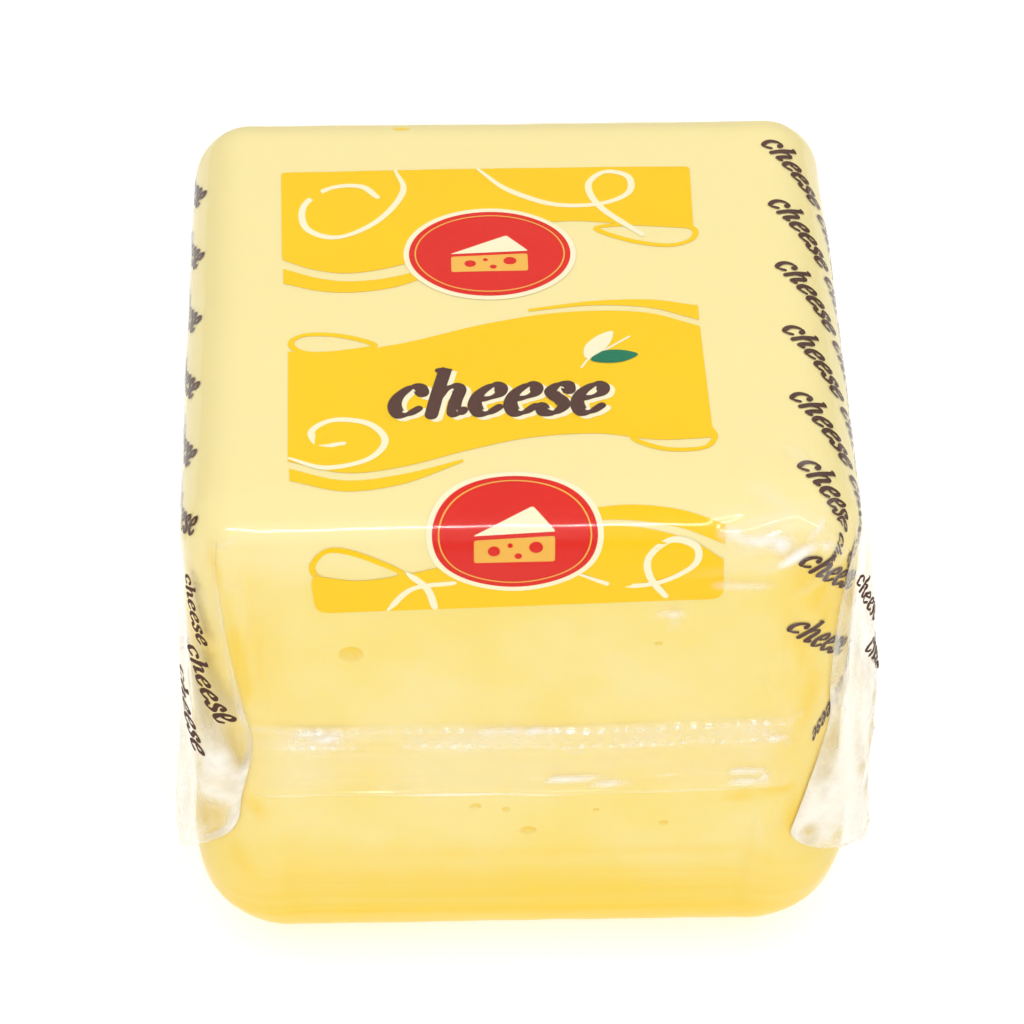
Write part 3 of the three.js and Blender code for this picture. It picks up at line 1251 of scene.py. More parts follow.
@dataclass
class FilmBody:
    """The film that clings to the block all round, with its tight folds and painted highlights along them."""

    lift: float = 0.5
    step: float = 1.8
    height_step: float = 1.3
    fine_step: float = 0.6
    # Where the mesh turns finer towards each side, and its step there if that isn't the fine one.
    left_fine: tuple[float, float] = (-36.0, 0.8)
    right_fine: float = 24.0
    front_fine: float = -34.0
    back_fine: tuple[float, float] = (38.0, 1.0)
    top_fine: float = 22.0
    haze_and_sheen: float = 0.01
    seal_haze: float = 0.05
    crease_sheen: float = 0.35
    smear_glint: float = 1.9
    most_haze: float = 0.95
    smear_lift: float = 0.3
    pucker: float = 0.16
    slack: float = 0.14
    ripple: float = 0.05
    end_face: tuple[float, float] = (46.0, 3.0)
    seal_height: float = 56.5
    seal_reach: float = 9.0
    pucker_reach: float = 6.0
    creases: tuple[Crease, ...] = (
        Crease((29, -47.5, 103.0), (40, -46.0, 104.0), 0.5, 1.8),
        Crease((31, -50.2, 100.2), (44, -46.0, 103.0), 0.8, 2.4),
        Crease((31, -51, 97.0), (47, -45, 102.0), 0.7, 2.2),
        Crease((36, -51, 94.0), (49, -46, 99.5), 0.7, 2.0),
        Crease((34, -43, 105.0), (47, -49, 99.0), 0.7, 2.2),
        Crease((41, -35, 105.0), (49.5, -47.5, 98.0), 0.6, 2.0),
        Crease((42, -51, 88.0), (50.5, -47.5, 98.0), 0.5, 1.6),
        Crease((26, -51, 93.0), (42, -51, 96.0), 0.35, 1.6),
        Crease((45, -51, 82.0), (50, -49.0, 95.0), 0.4, 1.3),
        Crease((20.5, -51, 86.6), (25.5, -51, 86.0), 0.3, 1.5),
        Crease((-50, -44, 98.5), (-43.5, -51, 91.0), 0.4, 1.4),
        Crease((-43.4, -51, 96.0), (-41.4, -51, 62.0), 0.35, 1.0),
        Crease((-41.6, -51, 86.0), (-39.8, -51, 60.0), 0.25, 0.9),
        Crease((42.5, -51, 90.0), (40.5, -51, 62.0), 0.3, 1.0),
        Crease((45.5, -51, 84.0), (43.5, -51, 58.0), 0.3, 0.9),
        Crease((37.5, -51, 70.0), (44.0, -51, 58.5), 0.3, 1.2),
        Crease((41.0, -51, 40.0), (45.0, -49.5, 22.0), 0.3, 0.9),
        Crease((38.0, -51, 38.0), (41.0, -50.5, 20.0), 0.25, 0.9),
        Crease((27, 49, 104.0), (46, 45.0, 102.5), 0.5, 1.8),
        Crease((-35, 50.5, 101.5), (-48, 44, 101.5), 0.5, 1.8),
        Crease((38, 51, 96.0), (49, 45, 101.0), 0.5, 1.6),
        Crease((52.8, -30, 62.0), (52.8, -44, 56.0), 0.4, 1.6),
        Crease((52.8, -26, 48.0), (52.5, -43, 50.0), 0.4, 1.6),
        Crease((52.8, 30, 60.0), (52.5, 44, 56.0), 0.4, 1.6),
        Crease((-52.8, -28, 58.0), (-52.5, -43, 55.0), 0.4, 1.6),
        Crease((-52.8, 28, 62.0), (-52.5, 44, 55.0), 0.4, 1.6),
    )
    # Painted highlights: white glint smears near the crest and the seal, each also a slight fold.
    glint_smears: tuple[Crease, ...] = (
        Crease((30.5, -49.4, 101.0), (42.5, -46.5, 104.0), 0.8, 1.2),
        Crease((30.5, -49.5, 100.5), (41.0, -50.3, 98.8), 0.8, 1.9),
        Crease((36.0, -50.2, 100.0), (40.8, -50.8, 98.4), 0.95, 2.4),
        Crease((38.5, -50.3, 99.8), (42.0, -46.5, 104.0), 0.6, 1.0),
        Crease((39.2, -50.5, 95.0), (45.6, -50.2, 99.4), 0.75, 1.3),
        Crease((45.0, -50.4, 99.8), (47.2, -50.2, 97.4), 0.85, 1.8),
        Crease((43.0, -50.3, 98.8), (46.8, -46.5, 103.2), 0.55, 1.0),
        Crease((46.5, -50.0, 98.6), (50.5, -48.8, 94.0), 0.5, 1.2),
        Crease((20.0, -49.5, 101.0), (31.5, -49.5, 101.0), 0.35, 1.2),
        Crease((29.5, -50.5, 90.5), (38.5, -50.5, 90.0), 0.2, 1.3),
        Crease((22.0, -50.5, 84.2), (24.6, -50.5, 84.0), 0.42, 1.4),
        Crease((22.6, -50.5, 82.0), (24.2, -50.5, 82.0), 0.2, 1.2),
        Crease((-47.6, -49.6, 98.5), (-42.0, -49.2, 101.2), 0.35, 0.9),
        Crease((-42.5, -50.5, 58.6), (-35.5, -50.5, 58.4), 0.5, 0.8),
        Crease((-36.0, -50.5, 58.4), (-28.0, -50.5, 55.6), 0.75, 0.9),
        Crease((38.5, -50.5, 56.2), (43.2, -50.5, 53.8), 0.5, 0.8),
        Crease((42.7, -50.5, 59.4), (47.0, -50.5, 61.2), 0.45, 0.9),
        Crease((34.0, -50.5, 47.6), (38.5, -50.5, 47.8), 0.7, 0.7),
        Crease((34.0, -50.5, 44.4), (40.0, -50.5, 44.2), 0.8, 0.8),
        Crease((38.5, -50.5, 47.6), (39.8, -50.5, 44.6), 0.4, 0.8),
        Crease((4.5, -50.5, 45.8), (10.0, -50.5, 45.9), 0.8, 0.8),
        Crease((10.0, -50.5, 45.9), (16.5, -50.5, 44.3), 0.7, 0.7),
        Crease((-6.5, -50.5, 58.0), (8.5, -50.5, 57.6), 0.4, 1.3),
    )

    def build(self, finishes: Finishes) -> bpy.types.Object:
        """Makes the film in place of the bag's plain solid.

        Args:
            finishes: The pack's materials.

        Returns:
            The new piece.
        """
        half_x, half_y, half_z = FORM.half
        fine = self.fine_step
        xs = graded(-half_x, half_x, self.step, ((-half_x, *self.left_fine), (self.right_fine, half_x, fine)))
        ys = graded(
            -half_y, half_y, self.step,
            ((-half_y, self.front_fine, fine), (self.back_fine[0], half_y, self.back_fine[1])),
        )
        zs = graded(-half_z, half_z, self.height_step, ((half_z - self.top_fine, half_z, fine),))
        sharp, faces = box_skin(xs, ys, zs)
        plain, _ = FORM.surface(sharp, self.lift)
        points, _ = FORM.surface(sharp, self.lift + self._folds(plain))
        haze_and_sheen = self.haze_and_sheen + self.seal_haze * self._near_seal(plain, self.seal_reach)
        # Painted highlights: milky white along the creases and the glint smears.
        haze_and_sheen += self.crease_sheen * self._highest(self.creases, plain)
        painted_glints = self.smear_glint * self._highest(self.glint_smears, plain) * self._broken(plain)
        haze_and_sheen = np.clip(np.maximum(haze_and_sheen, painted_glints), 0, self.most_haze)
        piece = make_piece("film_body", points, faces, finishes.film, {"haze_and_sheen": haze_and_sheen})
        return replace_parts(piece, "film_bag")

    @staticmethod
    def _highest(creases: tuple[Crease, ...], points: Points) -> Points:
        """The height of the highest of some ridges at each point.

        Args:
            creases: The ridges.
            points: Where to read them.

        Returns:
            One height for each point.
        """
        lift = np.zeros(len(points))
        for crease in creases:
            lift = np.maximum(lift, crease.lift(points))
        return lift

    @staticmethod
    def _broken(points: Points) -> Points:
        """Uneven strength along the painted glint smears."""
        return np.clip(1.0 + 0.5 * soft_noise(points, 3.0, 37), 0.3, 1.2)

    def _near_seal(self, points: Points, reach: float) -> Points:
        """How close each point of the two ends is to its seal line, from 0 to 1."""
        end = ramp(np.abs(points[:, 1]), *self.end_face)
        return end * np.exp(-np.abs(points[:, 2] - self.seal_height) / reach)

    def _folds(self, points: Points) -> Points:
        """How far the film lifts off the block in folds and puckers.

        Args:
            points: Points of the smooth film.

        Returns:
            One distance for each point.
        """
        lift = self._highest(self.creases, points) + self.smear_lift * self._highest(self.glint_smears, points)
        pucker = np.abs(soft_noise(points * [1.0, 0.2, 0.12], 2.6, 31))
        lift += self.pucker * pucker * self._near_seal(points, self.pucker_reach)
        slack = np.clip(np.linalg.norm(points[:, :2] / [52, 50], axis=1) - 1.05, 0, 1) * 3
        lift += self.slack * np.clip(slack, 0, 1) * np.abs(soft_noise(points * [1, 1, 0.3], 5.0, 33))
        base = np.clip(points[:, 2] / 4.0, 0, 1)
        return (lift + self.ripple * (1 + soft_noise(points, 30.0, 35))) * base


@dataclass(frozen=True)
class Bead:
    """A raised line along a seal, broken into short glints."""

    down: float
    height: float
    width: float
    pitch: float
    share: float


@dataclass
class SealFin:
    """The strip where the two walls of the bag are sealed across one end, folded down over the film."""

    end: int
    seed: int
    top: float = 59.8
    foot: float = 43.4
    crimp: float = 6.4
    half_width: float = 43.5
    column_step: float = 0.34
    row_step: float = 0.2
    end_taper: float = 7.0
    sway: tuple[tuple[float, float, int], ...] = ((0.5, 17.0, 1), (0.3, 7.3, 2))
    sway_fade: float = 0.4
    lift: float = 0.85
    rest: float = 0.55
    wave: float = 0.12
    curl: float = 0.45
    bead_edge: float = 0.42
    haze_and_sheen: float = 0.05
    crimp_haze: float = 0.12
    bead_glint: float = 1.5
    shine_middle: float = -9.0
    shine_reach: float = 15.0
    beads: tuple[Bead, ...] = (
        Bead(1.1, 0.6, 0.65, 1.9, 0.3),
        Bead(2.5, 0.28, 0.5, 1.9, 0.1),
        Bead(3.4, 0.28, 0.5, 2.4, 0.1),
        Bead(4.7, 0.62, 0.6, 2.2, 0.3),
        Bead(6.1, 0.2, 0.5, 7.0, 0.2),
        Bead(12.2, 0.3, 0.7, 9.0, 0.1),
    )

    def build(self, finishes: Finishes) -> bpy.types.Object:
        """Makes the strip.

        Args:
            finishes: The pack's materials.

        Returns:
            The new piece.
        """
        columns = np.arange(-self.half_width, self.half_width + 0.01, self.column_step)
        rows = np.arange(0, self.top - self.foot + 0.01, self.row_step)
        across, down = (grid.ravel() for grid in np.meshgrid(columns, rows))
        sway = sum(size * np.sin(across / pitch + turn * self.seed) for size, pitch, turn in self.sway)
        height = self.top - down + sway * (1 - self.sway_fade * down / (self.top - self.foot))
        turn = Turn.FRONT_RIGHT if self.end < 0 else Turn.BACK_RIGHT
        sharp = turn.sharp(FORM, np.abs(across), height)
        sharp[:, 0] *= np.sign(across + TINY)
        points, _ = FORM.surface(sharp, self._relief(across, down))
        faces = grid_faces(len(rows), len(columns), flip=self.end < 0)
        name = "film_fin_front" if self.end < 0 else "film_fin_back"
        haze_and_sheen = self._haze(across, down)
        return make_piece(name, points, faces, finishes.sealed_film, {"haze_and_sheen": haze_and_sheen})

    def _ends(self, across: Points) -> Points:
        """1 along the strip, falling to 0 at its two ends."""
        return ramp(self.half_width - np.abs(across), 0, self.end_taper) ** 0.8

    def _haze(self, across: Points, down: Points) -> Points:
        """How milky the strip is: most in its crimp, with painted glints on its beads and a painted highlight
        along its free edge.

        Args:
            across: How far each point is to the right of the strip's middle.
            down: How far each point is below the strip's top.

        Returns:
            The milkiness and painted highlights from 0 to 1.
        """
        length = self.top - self.foot
        edge = np.clip(1 - (length - down) / 0.6, 0, 1)
        crimp = np.clip((self.crimp - down) / 1.5, 0, 1) * np.clip(down, 0, 1)
        cloud = 1 + 0.8 * soft_noise(np.column_stack([across * 0.25, down]), 5.0, self.seed + 6)
        # Painted highlights: white glints on the beads, and a brighter line along the free edge.
        glints = self.bead_glint * self._beads(across, down) ** 1.6
        shine = 0.2 + 0.6 * np.exp(-(((across - self.shine_middle) / self.shine_reach) ** 2))
        milk_and_sheen = self.haze_and_sheen * cloud + shine * edge + self.crimp_haze * crimp * cloud + glints
        return self._ends(across) * np.clip(milk_and_sheen, 0, 0.95)

    def _relief(self, across: Points, down: Points) -> Points:
        """The height of the strip over the block, with its beads, waves and lifted edge.

        Args:
            across: How far each point is to the right of the strip's middle.
            down: How far each point is below the strip's top.

        Returns:
            One height for each point.
        """
        length = self.top - self.foot
        relief = self._beads(across, down)
        flat = np.column_stack([across, down])
        waves = self.wave * (1 + soft_noise(flat * [0.12, 1.0], 3.2, self.seed + 3))
        curl = self.curl * np.clip(1 - (length - down) / 1.6, 0, 1) ** 2
        curl *= np.clip(0.55 + 0.8 * soft_noise(across[:, None], 21.0, self.seed + 4), 0.05, 1.3)
        bead_edge = self.bead_edge * np.clip(1 - ((length - down - 0.6) / 0.6) ** 2, 0, 1)
        bead_edge *= np.clip(0.6 + 0.8 * soft_noise(across[:, None], 24.0, self.seed + 7), 0.15, 1.2)
        start, ends = np.clip(down, 0, 1), self._ends(across)
        return self.rest + (self.lift - self.rest + waves) * start * ends + (relief + curl + bead_edge) * ends

    def _beads(self, across: Points, down: Points) -> Points:
        """The height of the broken beads of the crimp.

        Args:
            across: How far each point is to the right of the strip's middle.
            down: How far each point is below the strip's top.

        Returns:
            One height for each point.
        """
        relief = np.zeros(len(across))
        strong = 0.75 + 0.5 * soft_noise(across[:, None], 26.0, self.seed + 2) + across / 110
        strong = np.clip(strong, 0.1, 1.2)
        for index, bead in enumerate(self.beads):
            wander = 0.22 * soft_noise(across[:, None], 11.0, self.seed + 40 + index)
            ridge = np.clip(1 - ((down - bead.down - wander) / bead.width) ** 2, 0, 1)
            broken = soft_noise(across[:, None], bead.pitch, self.seed + 50 + index)
            relief += bead.height * ridge * strong * np.clip(bead.share + broken, 0, 1)
        return relief


@dataclass
class FilmEar:
    """The spare film at one end of a fin: a loose crumpled flap, folded round the upright edge.

    The flap runs from a folded inner edge to a back edge. Each edge is drawn from the upper tip down, as
    distances past the middle of the upright edge and heights over the resting surface.
    """

    name: str
    turn: Turn
    seed: int
    inner: Knots
    back: Knots
    stand: Knots
    milk_and_sheen: Knots
    rows: int = 130
    columns: int = 64
    width: float = 22.0
    length: float = 80.0
    rest: float = 0.85
    least_stand: float = 0.58
    first_share: float = 0.004
    fold_shorten: float = 0.42
    big_folds: int = 34
    fine_folds: int = 150
    big_relief: float = 1.25
    fine_relief: float = 0.7
    fold_middle: float = 0.7
    calm: tuple[float, float, float] = (5.0, 4.0, 8.0)  # at the fold, the back edge and the upper tip
    looseness: tuple[float, float] = (0.35, 0.9)
    rise_range: tuple[float, float] = (0.3, 1.3)
    big_fold_sheen: float = 0.7
    fine_fold_sheen: float = 0.9
    fold_edge_sheen: float = 0.2
    most_haze: float = 0.92
    # The film turned under at the fold: how far each column reaches back, and its height.
    fold: Knots = ((1.3, 0.58), (0.4, 0.58), (0.08, 0.62), (0.0, 0.7), (0.08, 0.82))

    def build(self, finishes: Finishes) -> bpy.types.Object:
        """Makes the flap.

        Args:
            finishes: The pack's materials.

        Returns:
            The new piece.
        """
        columns = self._shares()
        share, down = (grid.ravel() for grid in np.meshgrid(columns, np.linspace(0, 1, self.rows)))
        points, _ = self.place(share, down)
        flip = self.turn in (Turn.FRONT_RIGHT, Turn.BACK_LEFT)
        faces = grid_faces(self.rows, len(columns), flip=flip)
        haze_and_sheen = self._haze(share, down)
        return make_piece(self.name, points, faces, finishes.doubled_film, {"haze_and_sheen": haze_and_sheen})

    def _shares(self) -> Points:
        """The flap's columns: a few below 0 where the film folds under itself, then 0 to 1 across."""
        under = -np.arange(len(self.fold), 0, -1) / 100
        return np.concatenate([under, np.linspace(self.first_share, 1, self.columns)])

    @staticmethod
    def _edge(profile: Knots, down: Points) -> Points:
        """Places along one edge, at equal shares of its length.

        Args:
            profile: The edge's knots.
            down: How far along the edge each point is, from 0 to 1.

        Returns:
            A distance and a height for each point.
        """
        path = flow(profile, 8)
        run = np.concatenate([[0], np.cumsum(np.linalg.norm(np.diff(path, axis=0), axis=1))])
        return np.column_stack([np.interp(down, run / run[-1], path[:, axis]) for axis in (0, 1)])

    @staticmethod
    def _read(profile: Knots, height: Points) -> Points:
        """A profile's value at each height."""
        heights, values = np.array(profile)[::-1].T
        return np.interp(height, heights, values)

    def _flat(self, share: Points, down: Points) -> Points:
        """Distances past the middle of the upright edge, and heights."""
        over = np.clip(share, 0, 1)[:, None]
        return (1 - over) * self._edge(self.inner, down) + over * self._edge(self.back, down)

    def _folds(self, share: Points, down: Points) -> tuple[Points, Points]:
        """Folds that run mostly along the flap, first the big ones and then the fine ones.

        Args:
            share: How far across the flap each point is, from 0 at its fold to 1.
            down: How far down the flap each point is, from 0 at its upper tip to 1.

        Returns:
            The two heights of each point.
        """
        sheet = (self.width, self.length * self.fold_shorten)
        flat = np.column_stack([np.clip(share, 0, 1) * sheet[0], down * sheet[1]])
        big = crumple(flat, sheet, self.big_folds, self.seed)
        return big, crumple(flat, sheet, self.fine_folds, self.seed + 1)

    def place(self, share: Points, down: Points, lift: float = 0.0) -> tuple[Points, Points]:
        """Places flat positions of the flap round the edge of the block.

        Args:
            share: How far across the flap each point is, from its fold at 0 to its back edge at 1.
            down: How far down the flap each point is, from its upper tip at 0 to its lower one at 1.
            lift: How far outside the flap to place the points.

        Returns:
            The points, and the outward directions there.
        """
        distance, height = self._flat(share, down).T
        over = np.clip(share, 0, 1)
        rise = self._read(self.stand, height) * np.sin(math.pi * over**0.8) ** 0.7
        soft = np.ones(len(over))
        for rate, away in zip(self.calm, (over, 1 - over, down)):
            soft *= np.clip(away * rate, 0, 1)
        loose = self.looseness[0] + self.looseness[1] * self._read(self.milk_and_sheen, height)
        big, fine = self._folds(share, down)
        rough = self.big_relief * big + self.fine_relief * fine - self.fold_middle
        stand = self.rest + rise + rough * soft * loose * np.clip(rise, *self.rise_range)
        across = self.turn.middle_of_edge(FORM, height) + distance
        for index, (step, height_there) in enumerate(self.fold):
            here = np.isclose(share, -(len(self.fold) - index) / 100)
            across = np.where(here, across + step, across)
            stand = np.where(here, height_there, stand)
        sharp = self.turn.sharp(FORM, across, height)
        return FORM.surface(sharp, np.maximum(stand, self.least_stand) + lift)

    def _haze(self, share: Points, down: Points) -> Points:
        """How milky the flap is at each point, partly its haze and partly painted highlights along its folds
        and its folded edge.

        Args:
            share: How far across the flap each point is, from 0 at its fold to 1.
            down: How far down the flap each point is, from 0 at its upper tip to 1.

        Returns:
            The milkiness and painted highlights from 0 to 1.
        """
        over = np.clip(share, 0, 1)
        flat = np.column_stack([over * self.width, down * self.length])
        height = self._flat(share, down)[:, 1]
        cloud = 0.5 + 0.5 * soft_noise(flat * [1.0, 0.35], 6.0, self.seed + 5)
        big, fine = (np.clip(folds, 0, 1) for folds in self._folds(share, down))
        # Partly haze and partly painted highlights: whiter along the crumpled folds and the folded inner
        # edge.
        folds = self.big_fold_sheen * big + self.fine_fold_sheen * fine
        edge = np.clip(1 - np.abs(share) * 25, 0, 1)
        last = np.clip((1 - over) * 6, 0, 1)
        last *= np.clip((1 - down) * 6 - 0.3 + 0.9 * cloud, 0.06, 1)
        milk_and_sheen = self._read(self.milk_and_sheen, height) * np.clip(1.5 * cloud + 1.3 * folds - 0.65, 0.1, 1.3)
        return np.clip(milk_and_sheen * last + self.fold_edge_sheen * edge * last, 0, self.most_haze)


FRONT_RIGHT_EAR = FilmEar(
    "film_ear_front_right", Turn.FRONT_RIGHT, 51,
    inner=((2.2, 99), (0.4, 90), (-0.7, 77.6), (-0.6, 66), (0.4, 56), (-1.0, 48), (-3.0, 41.5), (-4.8, 36),
           (-5.7, 32.8), (-4.6, 31.4), (-1.2, 30.4), (1.2, 28.0), (4.4, 27.4)),
    back=((3.5, 100), (8, 90), (13, 75), (16, 55), (17, 40), (14, 27), (8, 17)),
    stand=((99, 0.3), (90, 1.9), (77, 3.2), (60, 4.4), (45, 5.0), (30, 4.6), (22, 3.0), (15, 1.2)),
    milk_and_sheen=((99, 0.06), (90, 0.16), (76, 0.26), (62, 0.42), (50, 0.72), (36, 0.92), (28, 0.75), (22, 0.4),
          (15, 0.1)),
)
FRONT_LEFT_EAR = FilmEar(
    "film_ear_front_left", Turn.FRONT_LEFT, 67,
    inner=((-3.3, 100.3), (-3.5, 90), (-4.1, 79.5), (-5.6, 65.8), (-6.9, 56.5), (-6.2, 50), (-4.6, 42),
           (-3.6, 35), (0, 29.5), (4.4, 24.5)),
    back=((0.5, 101), (5, 92), (10, 75), (14, 55), (15.5, 38), (13, 24), (9, 16)),
    stand=((100, 0.2), (90, 0.4), (77, 1.0), (60, 2.3), (45, 3.2), (30, 3.2), (22, 2.2), (15, 0.9)),
    milk_and_sheen=((100, 0.03), (68, 0.07), (60, 0.3), (52, 0.75), (42, 0.85), (34, 0.7), (27, 0.45), (20, 0.15)),
)
BACK_RIGHT_EAR = FilmEar(
    "film_ear_back_right", Turn.BACK_RIGHT, 83,
    inner=((-1.0, 99), (-3.0, 90), (-5.0, 76), (-7.6, 60), (-8.2, 52), (-6.6, 42), (-4.6, 33), (1.0, 26)),
    back=((0.5, 100), (6, 90), (11, 72), (15, 52), (14, 36), (10, 24), (6, 18)),
    stand=((99, 0.2), (88, 0.9), (72, 1.7), (56, 2.3), (42, 2.5), (34, 2.0), (25, 1.0), (17, 0.4)),
    milk_and_sheen=((99, 0.05), (70, 0.12), (58, 0.4), (46, 0.6), (34, 0.5), (24, 0.15), (17, 0.05)),
)
BACK_LEFT_EAR = FilmEar(
    "film_ear_back_left", Turn.BACK_LEFT, 97,
    inner=((-0.6, 98), (-1.8, 90), (-3.2, 74), (-4.6, 60), (-7.0, 50), (-7.6, 42), (-5.4, 34), (0.5, 27)),
    back=((0.5, 99), (7, 88), (12, 70), (16, 50), (14, 37), (9, 25), (5, 19)),
    stand=((98, 0.2), (88, 1.0), (72, 1.9), (56, 2.6), (44, 2.8), (34, 2.2), (25, 1.0), (18, 0.4)),
    milk_and_sheen=((98, 0.05), (70, 0.10), (58, 0.35), (46, 0.62), (34, 0.55), (25, 0.2), (18, 0.05)),
)


# ---------------------------------------------------------------------------------------------------------
# The print
# ---------------------------------------------------------------------------------------------------------


@dataclass
class Printer:
    """Lays flat ink shapes on the inner side of the film."""

    finishes: Finishes
    step: tuple[float, float] = (6.0, 0.9)
    fine_step: tuple[float, float] = (0.9, 0.9)
    ear_step: tuple[float, float] = (0.8, 0.8)
    ear_lift: float = 0.06

    def lay(
        self, name: str, ink: Ink, outlines: Sequence[Outline], lift: float, turn: Turn
    ) -> bpy.types.Object:
        """Lays shapes over a rounded edge and its two faces.

        Args:
            name: The printed piece's name.
            ink: Its ink.
            outlines: Its shapes, as distances along the edge and towards the first face's far side.
            lift: How far the ink is outside the cheese.
            turn: The edge.

        Returns:
            The printed piece.
        """
        step = self.step if turn is Turn.TOP_FRONT else self.fine_step
        flat, triangles = fill(outlines, step)
        sharp = turn.sharp(FORM, -flat[:, 1], turn.hand * flat[:, 0])
        points, normals = FORM.surface(sharp, lift)
        return self._finish(name, ink, points, normals, triangles)

    def lay_on_ear(
        self, name: str, ink: Ink, outlines: Sequence[Outline], ear: FilmEar
    ) -> bpy.types.Object:
        """Lays shapes on a crumpled ear, as distances to the right of its fold and up from its upper tip.

        Args:
            name: The printed piece's name.
            ink: Its ink.
            outlines: Its shapes.
            ear: The ear.

        Returns:
            The printed piece.
        """
        flat, triangles = fill(outlines, self.ear_step)
        share = np.clip(np.abs(flat[:, 0]) / ear.width, ear.first_share, 1)
        points, normals = ear.place(share, -flat[:, 1] / ear.length, self.ear_lift)
        return self._finish(name, ink, points, normals, triangles)

    def _finish(
        self, name: str, ink: Ink, points: Points, normals: Points, triangles: Points
    ) -> bpy.types.Object:
        """Turns the triangles to face outwards and makes the piece.

        Args:
            name: The printed piece's name.
            ink: Its ink.
            points: Its points.
            normals: The outward directions there.
            triangles: Its faces.

        Returns:
            The printed piece.
        """
        a, b, c = (points[triangles[:, i]] for i in range(3))
        facing = np.einsum("ij,ij->i", np.cross(b - a, c - a), normals[triangles[:, 0]])
        turned = np.where(facing[:, None] < 0, triangles[:, ::-1], triangles)
        return make_piece(name, points, turned, self.finishes.inks[ink])


class Layer(float, Enum):
    """How far each coat of ink lies outside the cheese, from the innermost outwards."""

    GROUND = 0.27
    CURL = 0.30
    BORDER = 0.32
    PICTURE = 0.35
    DETAIL = 0.38


@dataclass
class RibbonBand:
    """A golden band with a wavy edge, a thin stripe beside it and a looped end."""

    name: str
    body: Outline
    stripes: tuple[Outline, ...]
    loops: tuple[Knots, ...]
    loop_pen: Pen = Pen(1.0, 0.7)

    def build(self, printer: Printer) -> None:
        """Lays the band.

        Args:
            printer: What lays the ink.
        """
        shapes = [filled(self.body)] + [filled(stripe) for stripe in self.stripes]
        for loop in self.loops:
            path = flow(loop, closed=True)
            shapes.append(self.loop_pen.draw(np.vstack([path, path[:1]])))
        printer.lay(self.name, Ink.YELLOW, shapes, Layer.GROUND, Turn.TOP_FRONT)


@dataclass
class Badge:
    """A red oval with a cream border, a thin golden line and a picture of a slice of cheese."""

    name: str
    centre: tuple[float, float]
    radii: tuple[float, float]
    border: float = 0.9
    line_inset: float = 0.9
    line_width: float = 0.22
    picture_scale: float = 0.82

    def build(self, printer: Printer) -> None:
        """Lays the badge's four inks.

        Args:
            printer: What lays the ink.
        """
        outer = (self.radii[0] + self.border, self.radii[1] + self.border)
        turn = Turn.TOP_FRONT
        printer.lay(f"{self.name}_border", Ink.CREAM, [ellipse(self.centre, outer)], Layer.BORDER, turn)
        printer.lay(f"{self.name}_ground", Ink.RED, [ellipse(self.centre, self.radii)], Layer.PICTURE, turn)
        line = tuple(radius - self.line_inset for radius in self.radii)
        inside = tuple(radius - self.line_width for radius in line)
        rim = [ellipse(self.centre, line), hole(ellipse(self.centre, inside))]
        front, top, holes = self._slice()
        printer.lay(f"{self.name}_line", Ink.GOLD, rim + [front] + holes, Layer.DETAIL, turn)
        printer.lay(f"{self.name}_slice_top", Ink.CREAM, [top], Layer.DETAIL, turn)

    def _slice(self) -> tuple[Outline, Outline, list[Outline]]:
        """The picture: the front and the top of a slice, and the holes in its front.

        Returns:
            The front, the top and the holes, as outlines.
        """
        front = rounded(((-7.6, -0.9), (7.4, -0.2), (7.4, -5.2), (-7.6, -5.4)), 0.5)
        top = rounded(((-7.8, -0.1), (3.4, 5.2), (7.6, 0.6)), 0.5)
        holes = [ellipse(at, size, 24) for at, size in (
            ((-3.9, -3.0), (1.15, 1.0)), ((0.6, -4.0), (0.7, 0.6)), ((3.9, -2.3), (1.3, 1.1)),
            ((-0.9, -1.9), (0.5, 0.45)),
        )]
        place = moved([shape * self.picture_scale for shape in [front, top] + holes], self.centre)
        return filled(place[0]), filled(place[1]), [hole(outline) for outline in place[2:]]


